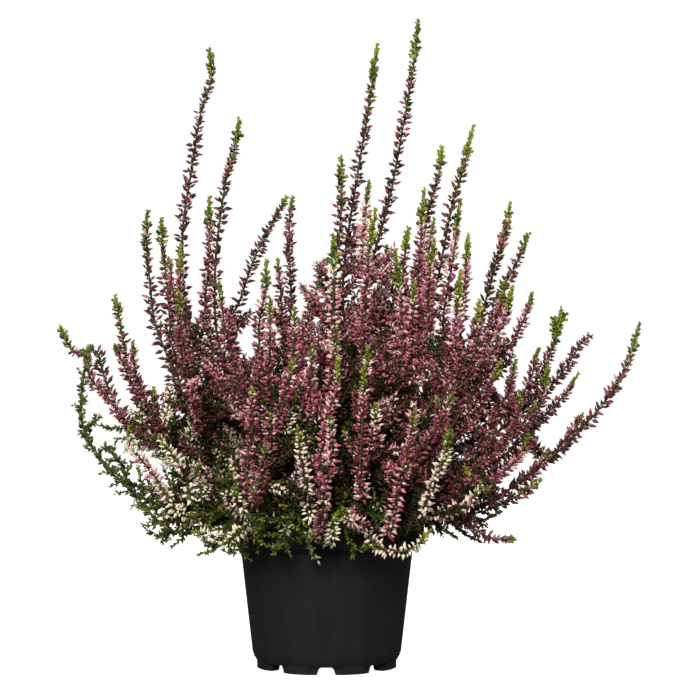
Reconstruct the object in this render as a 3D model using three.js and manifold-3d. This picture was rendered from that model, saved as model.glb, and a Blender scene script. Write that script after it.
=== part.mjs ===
// A bud-flowering heather in a plain nursery pot. Millimetres, +Z up.
// The pot's axis is the Z axis while the parts are made; at the end the whole group is moved so that
// its origin is the middle of its own footprint, at the height it stands on.

import * as THREE from "three";
import { mergeVertices } from "three/addons/utils/BufferGeometryUtils.js";
import Module from "manifold-3d";

const wasm = await Module();
wasm.setup();

// ---- driving dimensions -------------------------------------------------------------------------

const GAP = 0.3; // between neighbours that touch on the real thing
const POT_HEIGHT = 90;
const RIM_RADIUS = 60;
const RIM_BAND = 13.5; // height of the upright band at the rim
const SHOULDER = 3.5; // height of the sloping step under the band
const BODY_TOP_RADIUS = 53;
const BODY_FOOT_RADIUS = 45.6;
const BODY_FOOT = 9; // height of the bevel's top, between the foot ring and the body
const FOOT_RADIUS = 43.6;
const FOOT_HEIGHT = 5;
const FOOT_WIDTH = 2.4;
const FLOOR_THICKNESS = 1.6;
const WALL = 1.3;
const POT_SIDES = 36;
const DRAFT = 0.4; // how much the rim band narrows towards its lower edge
const RIM_ROOM = 2.4; // kept between the rim and what grows over it
const NOTCHES = 8;
const NOTCH_TOP = 7.5;
const NOTCH_FOOT = 12;
const DRAIN_HOLES = 6;
const DRAIN_RADIUS = 4;
const DRAIN_CIRCLE = 31;

const SOIL_TOP = 80;
const SOIL_RELIEF = 1.3;
const SOIL_RINGS = 3;
const SOIL_SIDES = 18;
const HOLE_BOTTOM = 62;
const FEET_RADIUS = 42; // the stems stand inside this circle
const FEET_APART = 8.8;
const FEET_ROUNDS = 300;

const STEM_FOOT = 1.6; // half the stem's width where it leaves the soil
const STEM_THIN = 1.0;
const BARE_ROOM = 1.9; // half the width kept for a bare stem
const SAMPLE = 4.8; // spacing of the points that a stem's line is held by
const ROOM = 1.0; // kept clear between stems that give way to each other
const BEND_TOLERANCE = 1.2; // how far a bare stem's faces may stray from its line

// Each kind of growth: how far it reaches out from the stem, how thick the stem is between, how far
// apart the pairs are along it, and how much they are lifted towards the tip.
const GROWTH = {
  open: { reach: 6.4, core: 1.4, pitch: 8.8, lift: 3.4 },
  dense: { reach: 5.2, core: 1.7, pitch: 8.2, lift: 3.0 },
  leafy: { reach: 4.4, core: 1.4, pitch: 8.4, lift: 3.6 },
  tip: { reach: 2.9, core: 1.2, pitch: 6.4, lift: 2.4 },
};

// The stems are drawn on the upright plane through the pot's axis, as they look to an eye in front of
// it. One that stands nearer or farther lies on the same line of sight.
const EYE = { x: 13, z: 195, distance: 1350 };

// ---- the sprays ---------------------------------------------------------------------------------
// A spray is a main shoot and the side shoots that grow from it. A shoot is its tint, its habit, the
// length of its green tip, its depth at its low end and at its tip (negative is nearer the eye), and
// the x and z of a few points along its line, from its low end up to its tip.

const FLOWERING = [
  [
    ["dusk", "open", 7, 0, 10, -100, 141, -121, 148, -135, 172, -143, 194, -155, 192, -164, 208],
    ["pale", "dense", 5, -8, -8, -121, 148, -137, 168, -145, 176, -147, 196],
  ],
  [
    ["dusk", "open", 7, 15, 20, -100, 141, -115, 163, -122, 181, -127, 209, -130, 226],
    ["rose", "dense", 5, 0, -5, -109, 148, -118, 168, -126, 186, -130, 196],
    ["rose", "dense", 5, -12, -24, -101, 146, -111, 163, -118, 181, -119, 198],
  ],
  [
    ["pale", "dense", 5, -45, -60, -76, 92, -90, 98, -105, 116, -112, 125, -121, 135, -122, 148],
    ["white", "dense", 4, -50, -55, -83, 100, -86, 114, -95, 129, -103, 140],
  ],
  [
    ["white", "dense", 4, -56, -52, -44, 92, -56, 84, -68, 79, -84, 82],
    ["white", "dense", 4, -62, -66, -50, 84, -60, 76, -72, 70],
  ],
  [
    ["dusk", "open", 8, 20, 35, -81, 151, -95, 185, -105, 209, -109, 237, -111, 264, -110, 280],
    ["rose", "open", 8, 5, 10, -87, 163, -95, 197, -98, 229, -101, 261, -102, 274],
  ],
  [
    ["rose", "dense", 14, 20, 25, -81, 163, -85, 197, -90, 231, -90, 256],
    ["rose", "dense", 5, -10, -12, -84, 169, -89, 200, -93, 218, -97, 249],
    ["rose", "dense", 12, -35, -45, -85, 175, -90, 206, -91, 228],
  ],
  [["dusk", "open", 12, 40, 70, -84, 206, -89, 261, -83, 306, -77, 342, -71, 361, -72, 378]],
  [
    ["dusk", "open", 10, 25, 35, -67, 200, -69, 231, -68, 255, -62, 298, -57, 317, -54, 335],
    ["rose", "dense", 16, -20, -25, -69, 181, -71, 197, -75, 218, -73, 243, -72, 287],
  ],
  [
    ["rose", "dense", 9, -45, -60, -54, 175, -60, 197, -63, 209, -66, 235],
    ["rose", "dense", 14, -15, -20, -40, 181, -42, 206, -38, 231, -37, 248],
  ],
  [["dusk", "open", 5, 55, 75, -59, 211, -54, 223, -44, 252, -34, 271, -25, 287]],
  [
    ["dusk", "dense", 7, 60, 95, -21, 206, -21, 218, -23, 252, -23, 271, -21, 287],
    ["dusk", "dense", 5, 40, 50, -26, 200, -28, 224, -30, 248],
    ["crimson", "dense", 0, 60, 80, -14, 197, -12, 213, -9, 224, -1, 249],
  ],
  [
    ["rose", "dense", 8, -60, -80, -35, 170, -35, 197, -35, 225],
    ["rose", "dense", 4, -40, -48, -22, 172, -20, 200, -20, 218],
  ],
  [
    ["dusk", "open", 10, 0, 5, 5, 224, 6, 255, 8, 268, 9, 311],
    ["pale", "dense", 15, -45, -60, 4, 190, 4, 206, 4, 224, 4, 263],
  ],
  [["rose", "open", 22, 25, 35, 10, 212, 10, 238, 14, 272, 19, 303, 26, 345, 31, 381]],
  [["rose", "open", 20, 10, 15, 23, 224, 28, 249, 38, 285, 46, 327, 53, 367, 56, 395]],
  [
    ["rose", "dense", 20, -40, -55, 22, 200, 24, 231, 26, 255, 30, 279],
    ["pale", "dense", 8, -20, -20, 22, 249, 23, 271, 26, 296],
  ],
  [
    ["rose", "dense", 11, -80, -100, -4, 120, 0, 149, 6, 169, 7, 188],
    ["rose", "dense", 9, -70, -85, 2, 163, 4, 185, 6, 206],
  ],
  [
    ["rose", "dense", 8, -80, -95, -51, 105, -47, 138, -46, 157, -46, 170],
    ["dusk", "dense", 3, -85, -90, -42, 96, -39, 117, -38, 135],
    ["rose", "dense", 3, -75, -85, -36, 122, -35, 138, -34, 153],
  ],
  [["pale", "dense", 7, -76, -105, -8, 90, -10, 105, -15, 125, -18, 146]],
  [
    ["rose", "dense", 4, -84, -100, -3, 99, 1, 120, 3, 135, 2, 152],
    ["pale", "dense", 3, -74, -80, 4, 76, 6, 86, 9, 100],
  ],
  [
    ["rose", "dense", 4, -65, -85, -34, 132, -27, 160, -24, 172, -21, 185],
    ["rose", "dense", 5, -50, -62, -14, 150, -10, 176, -9, 196],
  ],
  [
    ["crimson", "dense", 12, -80, -95, 22, 100, 20, 115, 22, 151, 23, 182],
    ["rose", "dense", 9, -70, -80, 24, 163, 25, 178, 25, 194],
    ["white", "dense", 4, -78, -85, 31, 132, 30, 145, 30, 160],
  ],
  [["crimson", "dense", 9, -68, -105, 36, 80, 43, 105, 51, 135, 54, 156]],
  [
    ["white", "dense", 10, -66, -95, 60, 93, 64, 107, 73, 129, 75, 143],
    ["rose", "dense", 4, -60, -75, 48, 118, 57, 129, 70, 151, 77, 166],
  ],
  [
    ["dusk", "dense", 12, 10, 10, 46, 224, 47, 243, 50, 268],
    ["dusk", "dense", 7, 30, 35, 35, 218, 36, 231, 37, 257],
  ],
  [
    ["rose", "dense", 20, -35, -45, 47, 190, 46, 206, 46, 218, 42, 254],
    ["rose", "dense", 9, -50, -65, 51, 184, 52, 206, 54, 235],
  ],
  [
    ["dusk", "open", 10, 35, 50, 56, 231, 62, 277, 69, 303, 71, 318],
    ["rose", "dense", 20, 15, 25, 54, 218, 56, 240, 60, 292],
  ],
  [
    ["rose", "dense", 7, -10, -15, 61, 220, 62, 249, 66, 274],
    ["rose", "dense", 12, -30, -40, 62, 206, 62, 231, 66, 260],
  ],
  [["dusk", "open", 16, 30, 45, 63, 224, 71, 255, 78, 287, 85, 309, 90, 331]],
  [
    ["rose", "dense", 18, 0, 5, 70, 196, 72, 218, 77, 247, 82, 285],
    ["rose", "dense", 12, -15, -20, 79, 193, 82, 213, 85, 237, 87, 263],
  ],
  [
    ["pale", "dense", 14, -40, -50, 76, 190, 80, 218, 82, 241],
    ["rose", "dense", 11, -45, -55, 88, 178, 92, 197, 94, 223],
  ],
  [
    ["rose", "open", 12, 25, 35, 88, 194, 96, 218, 103, 245, 109, 264, 113, 283],
    ["dusk", "dense", 10, 0, 5, 97, 200, 108, 231, 116, 246, 124, 264],
  ],
  [
    ["pale", "dense", 12, -35, -45, 100, 184, 107, 207, 111, 216, 114, 232],
    ["rose", "dense", 10, -20, -25, 98, 190, 106, 218, 110, 234],
  ],
  [
    ["rose", "dense", 7, -5, -5, 94, 166, 103, 185, 114, 199, 123, 217, 126, 228],
    ["rose", "dense", 10, -30, -40, 92, 153, 100, 172, 106, 187],
  ],
  [
    ["dusk", "dense", 19, 10, 15, 113, 151, 125, 169, 138, 194, 144, 218],
    ["rose", "dense", 7, 0, 0, 119, 163, 126, 178, 130, 194],
    ["rose", "dense", 12, -20, -25, 120, 132, 128, 151, 133, 168, 136, 186],
  ],
  [
    ["dusk", "dense", 9, -5, -10, 112, 131, 128, 148, 146, 166, 154, 178],
    ["crimson", "dense", 0, 25, 40, 131, 163, 140, 174, 151, 189, 157, 199, 162, 202],
  ],
  [
    ["rose", "open", 17, 0, 0, 97, 97, 116, 111, 137, 127, 157, 146, 173, 165, 185, 185, 192, 209],
    ["rose", "dense", 4, 10, 15, 143, 132, 151, 143, 157, 154],
    ["rose", "dense", 4, -10, -15, 122, 115, 131, 123, 137, 131],
  ],
  [
    ["rose", "dense", 7, -45, -60, 84, 104, 108, 118, 119, 129, 124, 141],
    ["dusk", "open", 4, -40, -50, 95, 94, 113, 102, 124, 108, 131, 114],
  ],
  [
    ["pale", "dense", 5, -60, -75, 63, 92, 82, 97, 90, 102, 95, 112],
    ["pale", "dense", 4, -55, -60, 76, 91, 88, 86, 99, 79, 115, 77],
  ],
  [["rose", "dense", 5, -68, -76, 24, 82, 34, 72, 52, 71, 63, 82]],
  [
    ["rose", "dense", 7, -45, -55, 100, 128, 116, 148, 119, 167],
    ["rose", "dense", 7, -35, -45, 100, 148, 111, 169, 116, 187],
    ["rose", "dense", 4, -40, -45, 109, 138, 120, 148, 128, 160],
  ],
];

const LEAFY = [
  [
    ["leaf", "leafy", 8, -15, -25, -66, 97, -83, 93, -101, 100, -121, 110, -145, 136, -151, 154, -147, 196],
    ["leaf", "leafy", 5, -20, -22, -149, 144, -145, 148, -140, 152],
    ["leaf", "leafy", 5, -16, -18, -121, 110, -128, 122, -136, 134],
    ["leaf", "leafy", 5, -24, -28, -92, 95, -98, 85, -104, 79],
  ],
  [
    ["leaf", "leafy", 8, -30, -38, -64, 95, -82, 82, -97, 84, -112, 96],
    ["leaf", "leafy", 5, -34, -40, -74, 88, -84, 102, -96, 112],
  ],
  [
    ["leaf", "leafy", 8, -50, -56, -54, 95, -62, 84, -70, 74, -80, 68],
    ["leaf", "leafy", 5, -54, -64, -54, 90, -54, 78, -56, 68],
    ["leaf", "leafy", 5, -50, -50, -60, 88, -72, 90, -84, 94],
  ],
  [
    ["leaf", "leafy", 8, -66, -72, -20, 96, -24, 84, -30, 72, -36, 65],
    ["leaf", "leafy", 5, -66, -74, -20, 92, -14, 80, -10, 71],
    ["leaf", "leafy", 5, -64, -70, -22, 92, -36, 88, -44, 84],
  ],
  [
    ["leaf", "leafy", 8, -66, -72, 8, 96, 10, 86, 14, 76, 22, 68],
    ["leaf", "leafy", 5, -66, -72, 10, 92, 2, 82, -2, 76],
    ["leaf", "leafy", 5, -62, -66, 12, 94, 26, 92, 38, 88],
  ],
  [
    ["leaf", "leafy", 8, -20, -26, 64, 96, 78, 90, 92, 88, 106, 94],
    ["leaf", "leafy", 5, -24, -30, 72, 92, 84, 82, 94, 76],
  ],
  [
    ["leaf", "leafy", 8, 30, 42, 58, 97, 70, 92, 84, 92, 98, 100],
    ["leaf", "leafy", 5, 34, 48, 62, 95, 72, 84, 80, 78],
  ],
  [
    ["leaf", "leafy", 8, 62, 84, 12, 98, 16, 95, 20, 95, 26, 102],
    ["leaf", "leafy", 5, 66, 78, 12, 96, 6, 84, 2, 76],
  ],
  [
    ["leaf", "leafy", 8, 52, 74, -36, 98, -44, 94, -52, 96, -60, 104],
    ["leaf", "leafy", 5, 56, 66, -38, 96, -44, 84, -50, 76],
  ],
];

// More of the same grow towards the back, by rule: mains in a fan, and short shoots all round that
// fill the bush out to a dome.
const BACK_SPRAYS = 8;
const BACK_FROM = 16; // degrees round from +X
const BACK_STEP = 21;
const BACK_RISE = [24, 52]; // degrees up, by turns
const DOME = { x: 124, y: 112, z: 122, base: 84 };
const FILL_SHOOTS = 31;
const FILL_BLOOM = 40;
const GOLDEN_TURN = 2.399963;

// The place at depth y that looks, to the eye, to be at x and z of the upright plane.
function atDepth(x, z, y) {
  const scale = 1 + y / EYE.distance;
  return new THREE.Vector3(EYE.x + (x - EYE.x) * scale, y, EYE.z + (z - EYE.z) * scale);
}

// A row of the tables above as points in space.
function drawnShoot([tint, habit, green, lowDepth, tipDepth, ...xz]) {
  const line = [];
  for (let i = 0; i < xz.length; i += 2) {
    const along = i / (xz.length - 2);
    line.push(atDepth(xz[i], xz[i + 1], lowDepth + (tipDepth - lowDepth) * along));
  }
  return { tint, habit, green, line };
}

// A point of the dome, or of a smaller one inside it.
function onDome(turn, rise, share) {
  const out = Math.cos(rise) * share;
  return new THREE.Vector3(
    DOME.x * out * Math.cos(turn),
    DOME.y * out * Math.sin(turn),
    DOME.base + DOME.z * Math.sin(rise) * share,
  );
}

// Mains that lean back, low ones and high ones by turns.
function backShoot(i) {
  const turn = THREE.MathUtils.degToRad(BACK_FROM + BACK_STEP * i);
  const rise = THREE.MathUtils.degToRad(BACK_RISE[i % 2]);
  const low = onDome(turn, rise * 0.6, 0.6);
  const middle = onDome(turn, rise * 0.85, 0.85);
  const line = [low, middle, onDome(turn, rise, 1.05)];
  return { tint: i % 3 ? "rose" : "dusk", habit: "dense", green: 8, line };
}

// Where each main stands in the soil: out towards its low end, then moved apart until none crowd.
function placeFeet(sprays) {
  const feet = sprays.map(([main]) => {
    const low = main.line[0];
    const across = Math.hypot(low.x, low.y);
    const out = FEET_RADIUS * Math.min(1, Math.pow(across / 95, 0.8));
    return new THREE.Vector2(low.x, low.y).multiplyScalar(out / across);
  });
  for (let round = 0; round < FEET_ROUNDS; round++) {
    for (let i = 0; i < feet.length; i++) {
      for (let j = i + 1; j < feet.length; j++) {
        const apart = feet[j].clone().sub(feet[i]);
        const short = FEET_APART - apart.length();
        if (short > 0) {
          apart.setLength(short * 0.25);
          feet[i].sub(apart);
          feet[j].add(apart);
        }
      }
    }
    for (const foot of feet) foot.clampLength(0, FEET_RADIUS);
  }
  return feet;
}

// Points evenly spaced along a smooth line, and how far up it the growth starts.
function runShoot(shoot, root, firm) {
  const curve = new THREE.CatmullRomCurve3([...root, ...shoot.line], false, "centripetal");
  const length = curve.getLength();
  let grown = 0;
  for (let i = 1; i < shoot.line.length; i++) grown += shoot.line[i].distanceTo(shoot.line[i - 1]);
  const points = curve.getSpacedPoints(Math.max(4, Math.round(length / SAMPLE)));
  return { ...shoot, points, length, bare: Math.max(length - grown, 0), firm };
}

// A main rises straight out of its hole, and leaves over the rim if it starts low.
const UPRIGHT = [HOLE_BOTTOM + GAP, 72, 81, 88];
const RIM_CROSSING = 51;
const LOW_START = 112;
const FIRM_DOTS = 5; // held in place, the upright part of a main
function rootOfMain(foot, low) {
  const root = UPRIGHT.map((z) => new THREE.Vector3(foot.x, foot.y, z));
  const across = Math.hypot(low.x, low.y);
  if (across > RIM_CROSSING + 4 && low.z < LOW_START) {
    const out = RIM_CROSSING / across;
    root.push(new THREE.Vector3(low.x * out, low.y * out, POT_HEIGHT + 8));
  }
  return root;
}

// The point of a main that a side shoot starts from: the nearest one well below it.
const FIRST_JOINT = 7; // no side shoot leaves a main lower than about this dot
function jointBelow(main, low) {
  let best = null;
  main.points.forEach((point, k) => {
    const level = Math.hypot(point.x - low.x, point.y - low.y);
    const below = point.z < low.z - 8 - 0.4 * level || k < FIRST_JOINT;
    if (!below || k < FIRST_JOINT - 1 || point.z <= POT_HEIGHT) return;
    const distance = point.distanceTo(low);
    if (!best || distance < best.distance) best = { k, distance };
  });
  return best ?? { k: Math.min(FIRST_JOINT, main.points.length - 2), distance: Infinity };
}

// Every shoot of every spray, mains first in each.
function growSprays() {
  const sprays = [...FLOWERING, ...LEAFY].map((rows) => rows.map(drawnShoot));
  const back = Array.from({ length: BACK_SPRAYS }, (_, i) => [backShoot(i)]);
  sprays.splice(FLOWERING.length, 0, ...back);
  const feet = placeFeet(sprays);
  const grown = sprays.map(([main, ...sides], s) => {
    const root = rootOfMain(feet[s], main.line[0]);
    const stem = { ...runShoot(main, root, FIRM_DOTS), foot: feet[s], mother: null };
    const shoots = sides.map((side) => {
      const joint = jointBelow(stem, side.line[0]);
      return { ...runShoot(side, [stem.points[joint.k]], 1), mother: stem, joint: joint.k };
    });
    return [stem, ...shoots];
  });
  for (let i = 0; i < FILL_SHOOTS; i++) addFillShoot(grown, i);
  return grown;
}

// A short shoot that fills the bush, on the main nearest to its tip.
function addFillShoot(grown, i) {
  const rise = Math.asin(0.1 + 0.86 * ((i + 0.5) / FILL_SHOOTS));
  const tip = onDome(i * GOLDEN_TURN, rise, i % 3 ? 0.96 : 0.78);
  let best = null;
  for (const spray of grown) {
    if (spray[0].habit === "leafy") continue;
    const joint = jointBelow(spray[0], tip);
    if (!best || joint.distance < best.joint.distance) best = { spray, joint };
  }
  const main = best.spray[0];
  const start = main.points[best.joint.k];
  const middle = start.clone().lerp(tip, 0.5);
  const out = new THREE.Vector3(tip.x - start.x, tip.y - start.y, 0);
  middle.addScaledVector(out, 0.12);
  middle.z -= 0.04 * start.distanceTo(tip);
  const shoot = { tint: "rose", habit: "dense", green: 5, line: [middle, tip] };
  const run = runShoot(shoot, [start], 1);
  run.bare = Math.max(run.length - FILL_BLOOM, 6);
  best.spray.push({ ...run, mother: main, joint: best.joint.k });
}

// Half the width that a shoot takes up, some way along it.
function halfWidth(shoot, along) {
  if (along < shoot.bare) return BARE_ROOM;
  if (along > shoot.length - shoot.green) return GROWTH.tip.reach;
  return GROWTH[shoot.habit].reach;
}

// How far to move a point so that it clears the pot's wall and the soil.
function awayFromPot(p, radius) {
  const across = Math.hypot(p.x, p.y) || 1;
  if (across < RIM_RADIUS - 9 - radius) {
    return new THREE.Vector3(0, 0, Math.max(SOIL_TOP + SOIL_RELIEF + radius + ROOM - p.z, 0));
  }
  const up = POT_HEIGHT + radius + RIM_ROOM - p.z;
  const out = RIM_RADIUS + radius + RIM_ROOM - across;
  if (up <= 0 || out <= 0) return new THREE.Vector3();
  if (up < out) return new THREE.Vector3(0, 0, up);
  return new THREE.Vector3((p.x / across) * out, (p.y / across) * out, 0);
}

// Stems bend round each other, mostly in depth, until they no longer touch.
const ROUNDS = 240;
const LATE = 0.85; // share of the rounds after which bends settle where they are
const NEAR = 26;
const PUSH = 0.35; // share of an overlap that a round takes away from each
function giveWay(grown) {
  const dots = [];
  grown.forEach((spray, s) => {
    for (const shoot of spray) {
      shoot.dots = shoot.points.map((point, k) => {
        const along = (k / (shoot.points.length - 1)) * shoot.length;
        const radius = halfWidth(shoot, along);
        const dot = { at: point, spray: s, shoot, k, radius, push: new THREE.Vector3() };
        dots.push(dot);
        return dot;
      });
    }
  });
  const pairs = [];
  for (let i = 0; i < dots.length; i++) {
    for (let j = i + 1; j < dots.length; j++) {
      const [a, b] = [dots[i], dots[j]];
      if (a.shoot === b.shoot) continue;
      const kin = a.spray === b.spray;
      if (kin && (a.k < FIRST_JOINT || b.k < FIRST_JOINT)) continue;
      if (a.at.distanceTo(b.at) < a.radius + b.radius + NEAR) pairs.push([a, b]);
    }
  }
  const apart = new THREE.Vector3();
  for (let round = 0; round < ROUNDS; round++) {
    const late = round > ROUNDS * LATE;
    for (const [a, b] of pairs) {
      apart.subVectors(b.at, a.at);
      const distance = apart.length();
      const short = a.radius + b.radius + ROOM - distance;
      if (short <= 0) continue;
      apart.multiplyScalar((PUSH * short) / Math.max(distance, 0.01));
      if (!late) apart.set(apart.x * 0.5, apart.y, apart.z * 0.5);
      a.push.sub(apart);
      b.push.add(apart);
    }
    for (const spray of grown) for (const shoot of spray) bend(shoot, late);
  }
}

// Takes up the pushes on one shoot, smoothed along it, with its root held.
function bend(shoot, late) {
  const { dots, firm, mother } = shoot;
  const last = dots.length - 1;
  const spread = late ? 0.12 : 0.25;
  const smooth = dots.map((dot, k) => {
    const before = dots[Math.max(k - 1, 0)].push;
    const after = dots[Math.min(k + 1, last)].push;
    const own = dot.push.clone().multiplyScalar(1 - 2 * spread);
    return own.addScaledVector(before, spread).addScaledVector(after, spread);
  });
  dots.forEach((dot, k) => {
    if (k >= firm) dot.at.add(smooth[k]);
    dot.push.set(0, 0, 0);
  });
  if (mother) dots[0].at.copy(mother.dots[shoot.joint].at);
  // each kink that wasn't there at first is eased, so that a bend is shared along the stem
  const stiff = late ? 0.06 : 0.3;
  const middles = dots.map((dot, k) =>
    k > 0 && k < last ? dots[k - 1].at.clone().add(dots[k + 1].at).multiplyScalar(0.5) : dot.at.clone(),
  );
  dots.forEach((dot, k) => {
    if (k >= firm && k < last) {
      const kink = middles[k].sub(dot.at);
      dot.at.addScaledVector(kink.sub(dot.kink ?? (dot.kink = kink.clone())), stiff);
    }
    if (k >= firm) dot.at.add(awayFromPot(dot.at, dot.radius));
  });
}

// ---- solids -------------------------------------------------------------------------------------

// A closed mesh from corners and triangles, as a solid that can be joined and cut.
function toSolid(corners, triangles) {
  const vertProperties = new Float32Array(corners.flatMap((corner) => corner.toArray()));
  const mesh = new wasm.Mesh({ numProp: 3, vertProperties, triVerts: new Uint32Array(triangles) });
  return new wasm.Manifold(mesh);
}

// The same from a three.js geometry: shared corners are merged and flat triangles left out.
function fromGeometry(geometry) {
  geometry.deleteAttribute("normal");
  geometry.deleteAttribute("uv");
  const merged = mergeVertices(geometry, 1e-4);
  const place = merged.attributes.position;
  const corners = Array.from({ length: place.count }, (_, i) =>
    new THREE.Vector3().fromBufferAttribute(place, i),
  );
  const triangles = [];
  for (let i = 0; i < merged.index.count; i += 3) {
    const [a, b, c] = [0, 1, 2].map((k) => merged.index.getX(i + k));
    if (a !== b && b !== c && c !== a) triangles.push(a, b, c);
  }
  return toSolid(corners, triangles);
}

function toGeometry(solid) {
  const mesh = solid.getMesh();
  const geometry = new THREE.BufferGeometry();
  geometry.setAttribute("position", new THREE.BufferAttribute(mesh.vertProperties, 3));
  geometry.setIndex(new THREE.BufferAttribute(mesh.triVerts, 1));
  geometry.computeVertexNormals();
  return geometry;
}

// A profile of [radius, height] turned round the Z axis.
function turned(profile, sides) {
  const lathe = new THREE.LatheGeometry(profile.map(([r, z]) => new THREE.Vector2(r, z)), sides);
  return fromGeometry(lathe.rotateX(Math.PI / 2));
}

// ---- pot ----------------------------------------------------------------------------------------

const BODY_TOP = POT_HEIGHT - RIM_BAND - SHOULDER;
const FLOOR_TOP = FOOT_HEIGHT + FLOOR_THICKNESS;

// The wall's inner face, from the floor up to the rim's edge.
const INNER_WALL = [
  [FOOT_RADIUS - WALL, FLOOR_TOP],
  [BODY_FOOT_RADIUS - WALL, BODY_FOOT + 0.4],
  [BODY_TOP_RADIUS - WALL, BODY_TOP + 0.4],
  [RIM_RADIUS - WALL - DRAFT, BODY_TOP + SHOULDER + 0.7],
  [RIM_RADIUS - WALL, POT_HEIGHT],
];

function makePot() {
  const outer = [
    [FOOT_RADIUS - FOOT_WIDTH, FOOT_HEIGHT],
    [FOOT_RADIUS - FOOT_WIDTH, 0],
    [FOOT_RADIUS, 0],
    [FOOT_RADIUS, FOOT_HEIGHT],
    [BODY_FOOT_RADIUS, BODY_FOOT],
    [BODY_TOP_RADIUS, BODY_TOP],
    [RIM_RADIUS - DRAFT, BODY_TOP + SHOULDER],
    [RIM_RADIUS, POT_HEIGHT],
  ];
  const inner = [...INNER_WALL].reverse();
  let pot = turned([[0, FOOT_HEIGHT], ...outer, ...inner, [0, FLOOR_TOP]], POT_SIDES);
  // a notch is wider at the foot than at its top, and is cut right through the foot ring
  const notch = new THREE.Shape([
    new THREE.Vector2(-NOTCH_FOOT / 2, -1),
    new THREE.Vector2(NOTCH_FOOT / 2, -1),
    new THREE.Vector2(NOTCH_TOP / 2 + 0.6, FOOT_HEIGHT - 1.4),
    new THREE.Vector2(NOTCH_TOP / 2 - 0.8, FOOT_HEIGHT - 0.4),
    new THREE.Vector2(-NOTCH_TOP / 2 + 0.8, FOOT_HEIGHT - 0.4),
    new THREE.Vector2(-NOTCH_TOP / 2 - 0.6, FOOT_HEIGHT - 1.4),
  ]);
  for (let i = 0; i < NOTCHES; i++) {
    const cut = new THREE.ExtrudeGeometry(notch, { depth: 10, bevelEnabled: false });
    cut.rotateX(Math.PI / 2).translate(0, -FOOT_RADIUS + 5, 0).rotateZ((i / NOTCHES) * 2 * Math.PI);
    pot = pot.subtract(fromGeometry(cut));
  }
  for (let i = 0; i < DRAIN_HOLES; i++) {
    const turn = ((i + 0.5) / DRAIN_HOLES) * 2 * Math.PI;
    const hole = new THREE.CylinderGeometry(DRAIN_RADIUS, DRAIN_RADIUS, 8, 6).rotateX(Math.PI / 2);
    hole.translate(DRAIN_CIRCLE * Math.cos(turn), DRAIN_CIRCLE * Math.sin(turn), FOOT_HEIGHT + 1);
    pot = pot.subtract(fromGeometry(hole));
  }
  return pot;
}

// ---- soil ---------------------------------------------------------------------------------------

// The unevenness of the soil's surface at a place.
function crumbs(x, y) {
  const fine = Math.sin(x * 0.31 + 1) * Math.cos(y * 0.27);
  const wide = Math.sin(x * 0.13 - y * 0.17 + 2);
  return SOIL_RELIEF * 0.5 * (fine + wide);
}

// The root ball fills the pot and has one plain hole for each stem.
function makeSoil(feet) {
  const clear = Math.cos(Math.PI / POT_SIDES);
  const wall = INNER_WALL.map(([r, z]) => [r * clear - GAP, z + GAP]).slice(0, 4);
  const rim = wall[3][0];
  const corners = [];
  const triangles = [];
  const ring = (radius, height) => {
    for (let i = 0; i < SOIL_SIDES; i++) {
      const turn = (i / SOIL_SIDES) * 2 * Math.PI;
      const [x, y] = [radius * Math.cos(turn), radius * Math.sin(turn)];
      corners.push(new THREE.Vector3(x, y, height ?? SOIL_TOP + crumbs(x, y)));
    }
  };
  corners.push(new THREE.Vector3(0, 0, wall[0][1]));
  for (const [radius, height] of wall) ring(radius, height);
  for (let k = SOIL_RINGS; k > 0; k--) ring((rim * k) / SOIL_RINGS, null);
  corners.push(new THREE.Vector3(0, 0, SOIL_TOP + crumbs(0, 0)));
  const rings = wall.length + SOIL_RINGS;
  for (let i = 0; i < SOIL_SIDES; i++) {
    const next = (i + 1) % SOIL_SIDES;
    triangles.push(0, 1 + next, 1 + i);
    for (let k = 0; k < rings - 1; k++) {
      const [low, high] = [1 + k * SOIL_SIDES, 1 + (k + 1) * SOIL_SIDES];
      triangles.push(low + i, low + next, high + next, low + i, high + next, high + i);
    }
    const top = 1 + (rings - 1) * SOIL_SIDES;
    triangles.push(top + i, top + next, corners.length - 1);
  }
  const holes = feet.map((foot) => {
    const radius = STEM_FOOT + 1.5 * GAP;
    const depth = SOIL_TOP + 4 - HOLE_BOTTOM;
    const hole = new THREE.CylinderGeometry(radius, radius, depth, 4).rotateX(Math.PI / 2);
    return fromGeometry(hole.translate(foot.x, foot.y, HOLE_BOTTOM + depth / 2));
  });
  return toSolid(corners, triangles).subtract(wasm.Manifold.union(holes));
}

// ---- shoots -------------------------------------------------------------------------------------

// A place some way along a shoot, between its dots.
function placeAlong(shoot, along) {
  const at = (along / shoot.length) * (shoot.dots.length - 1);
  const k = Math.min(Math.floor(at), shoot.dots.length - 2);
  return shoot.dots[k].at.clone().lerp(shoot.dots[k + 1].at, at - k);
}

// The dots at which a bare stem needs a ring between two of them: where it bends, and at the last.
function bendsBetween(dots, from, to) {
  const chord = new THREE.Line3(dots[from].at, dots[to].at);
  const nearest = new THREE.Vector3();
  let [worst, furthest] = [BEND_TOLERANCE, null];
  for (let k = from + 1; k < to; k++) {
    const off = chord.closestPointToPoint(dots[k].at, true, nearest).distanceTo(dots[k].at);
    if (off > worst) [worst, furthest] = [off, k];
  }
  if (furthest === null) return [to];
  return [...bendsBetween(dots, from, furthest), ...bendsBetween(dots, furthest, to)];
}

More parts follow.
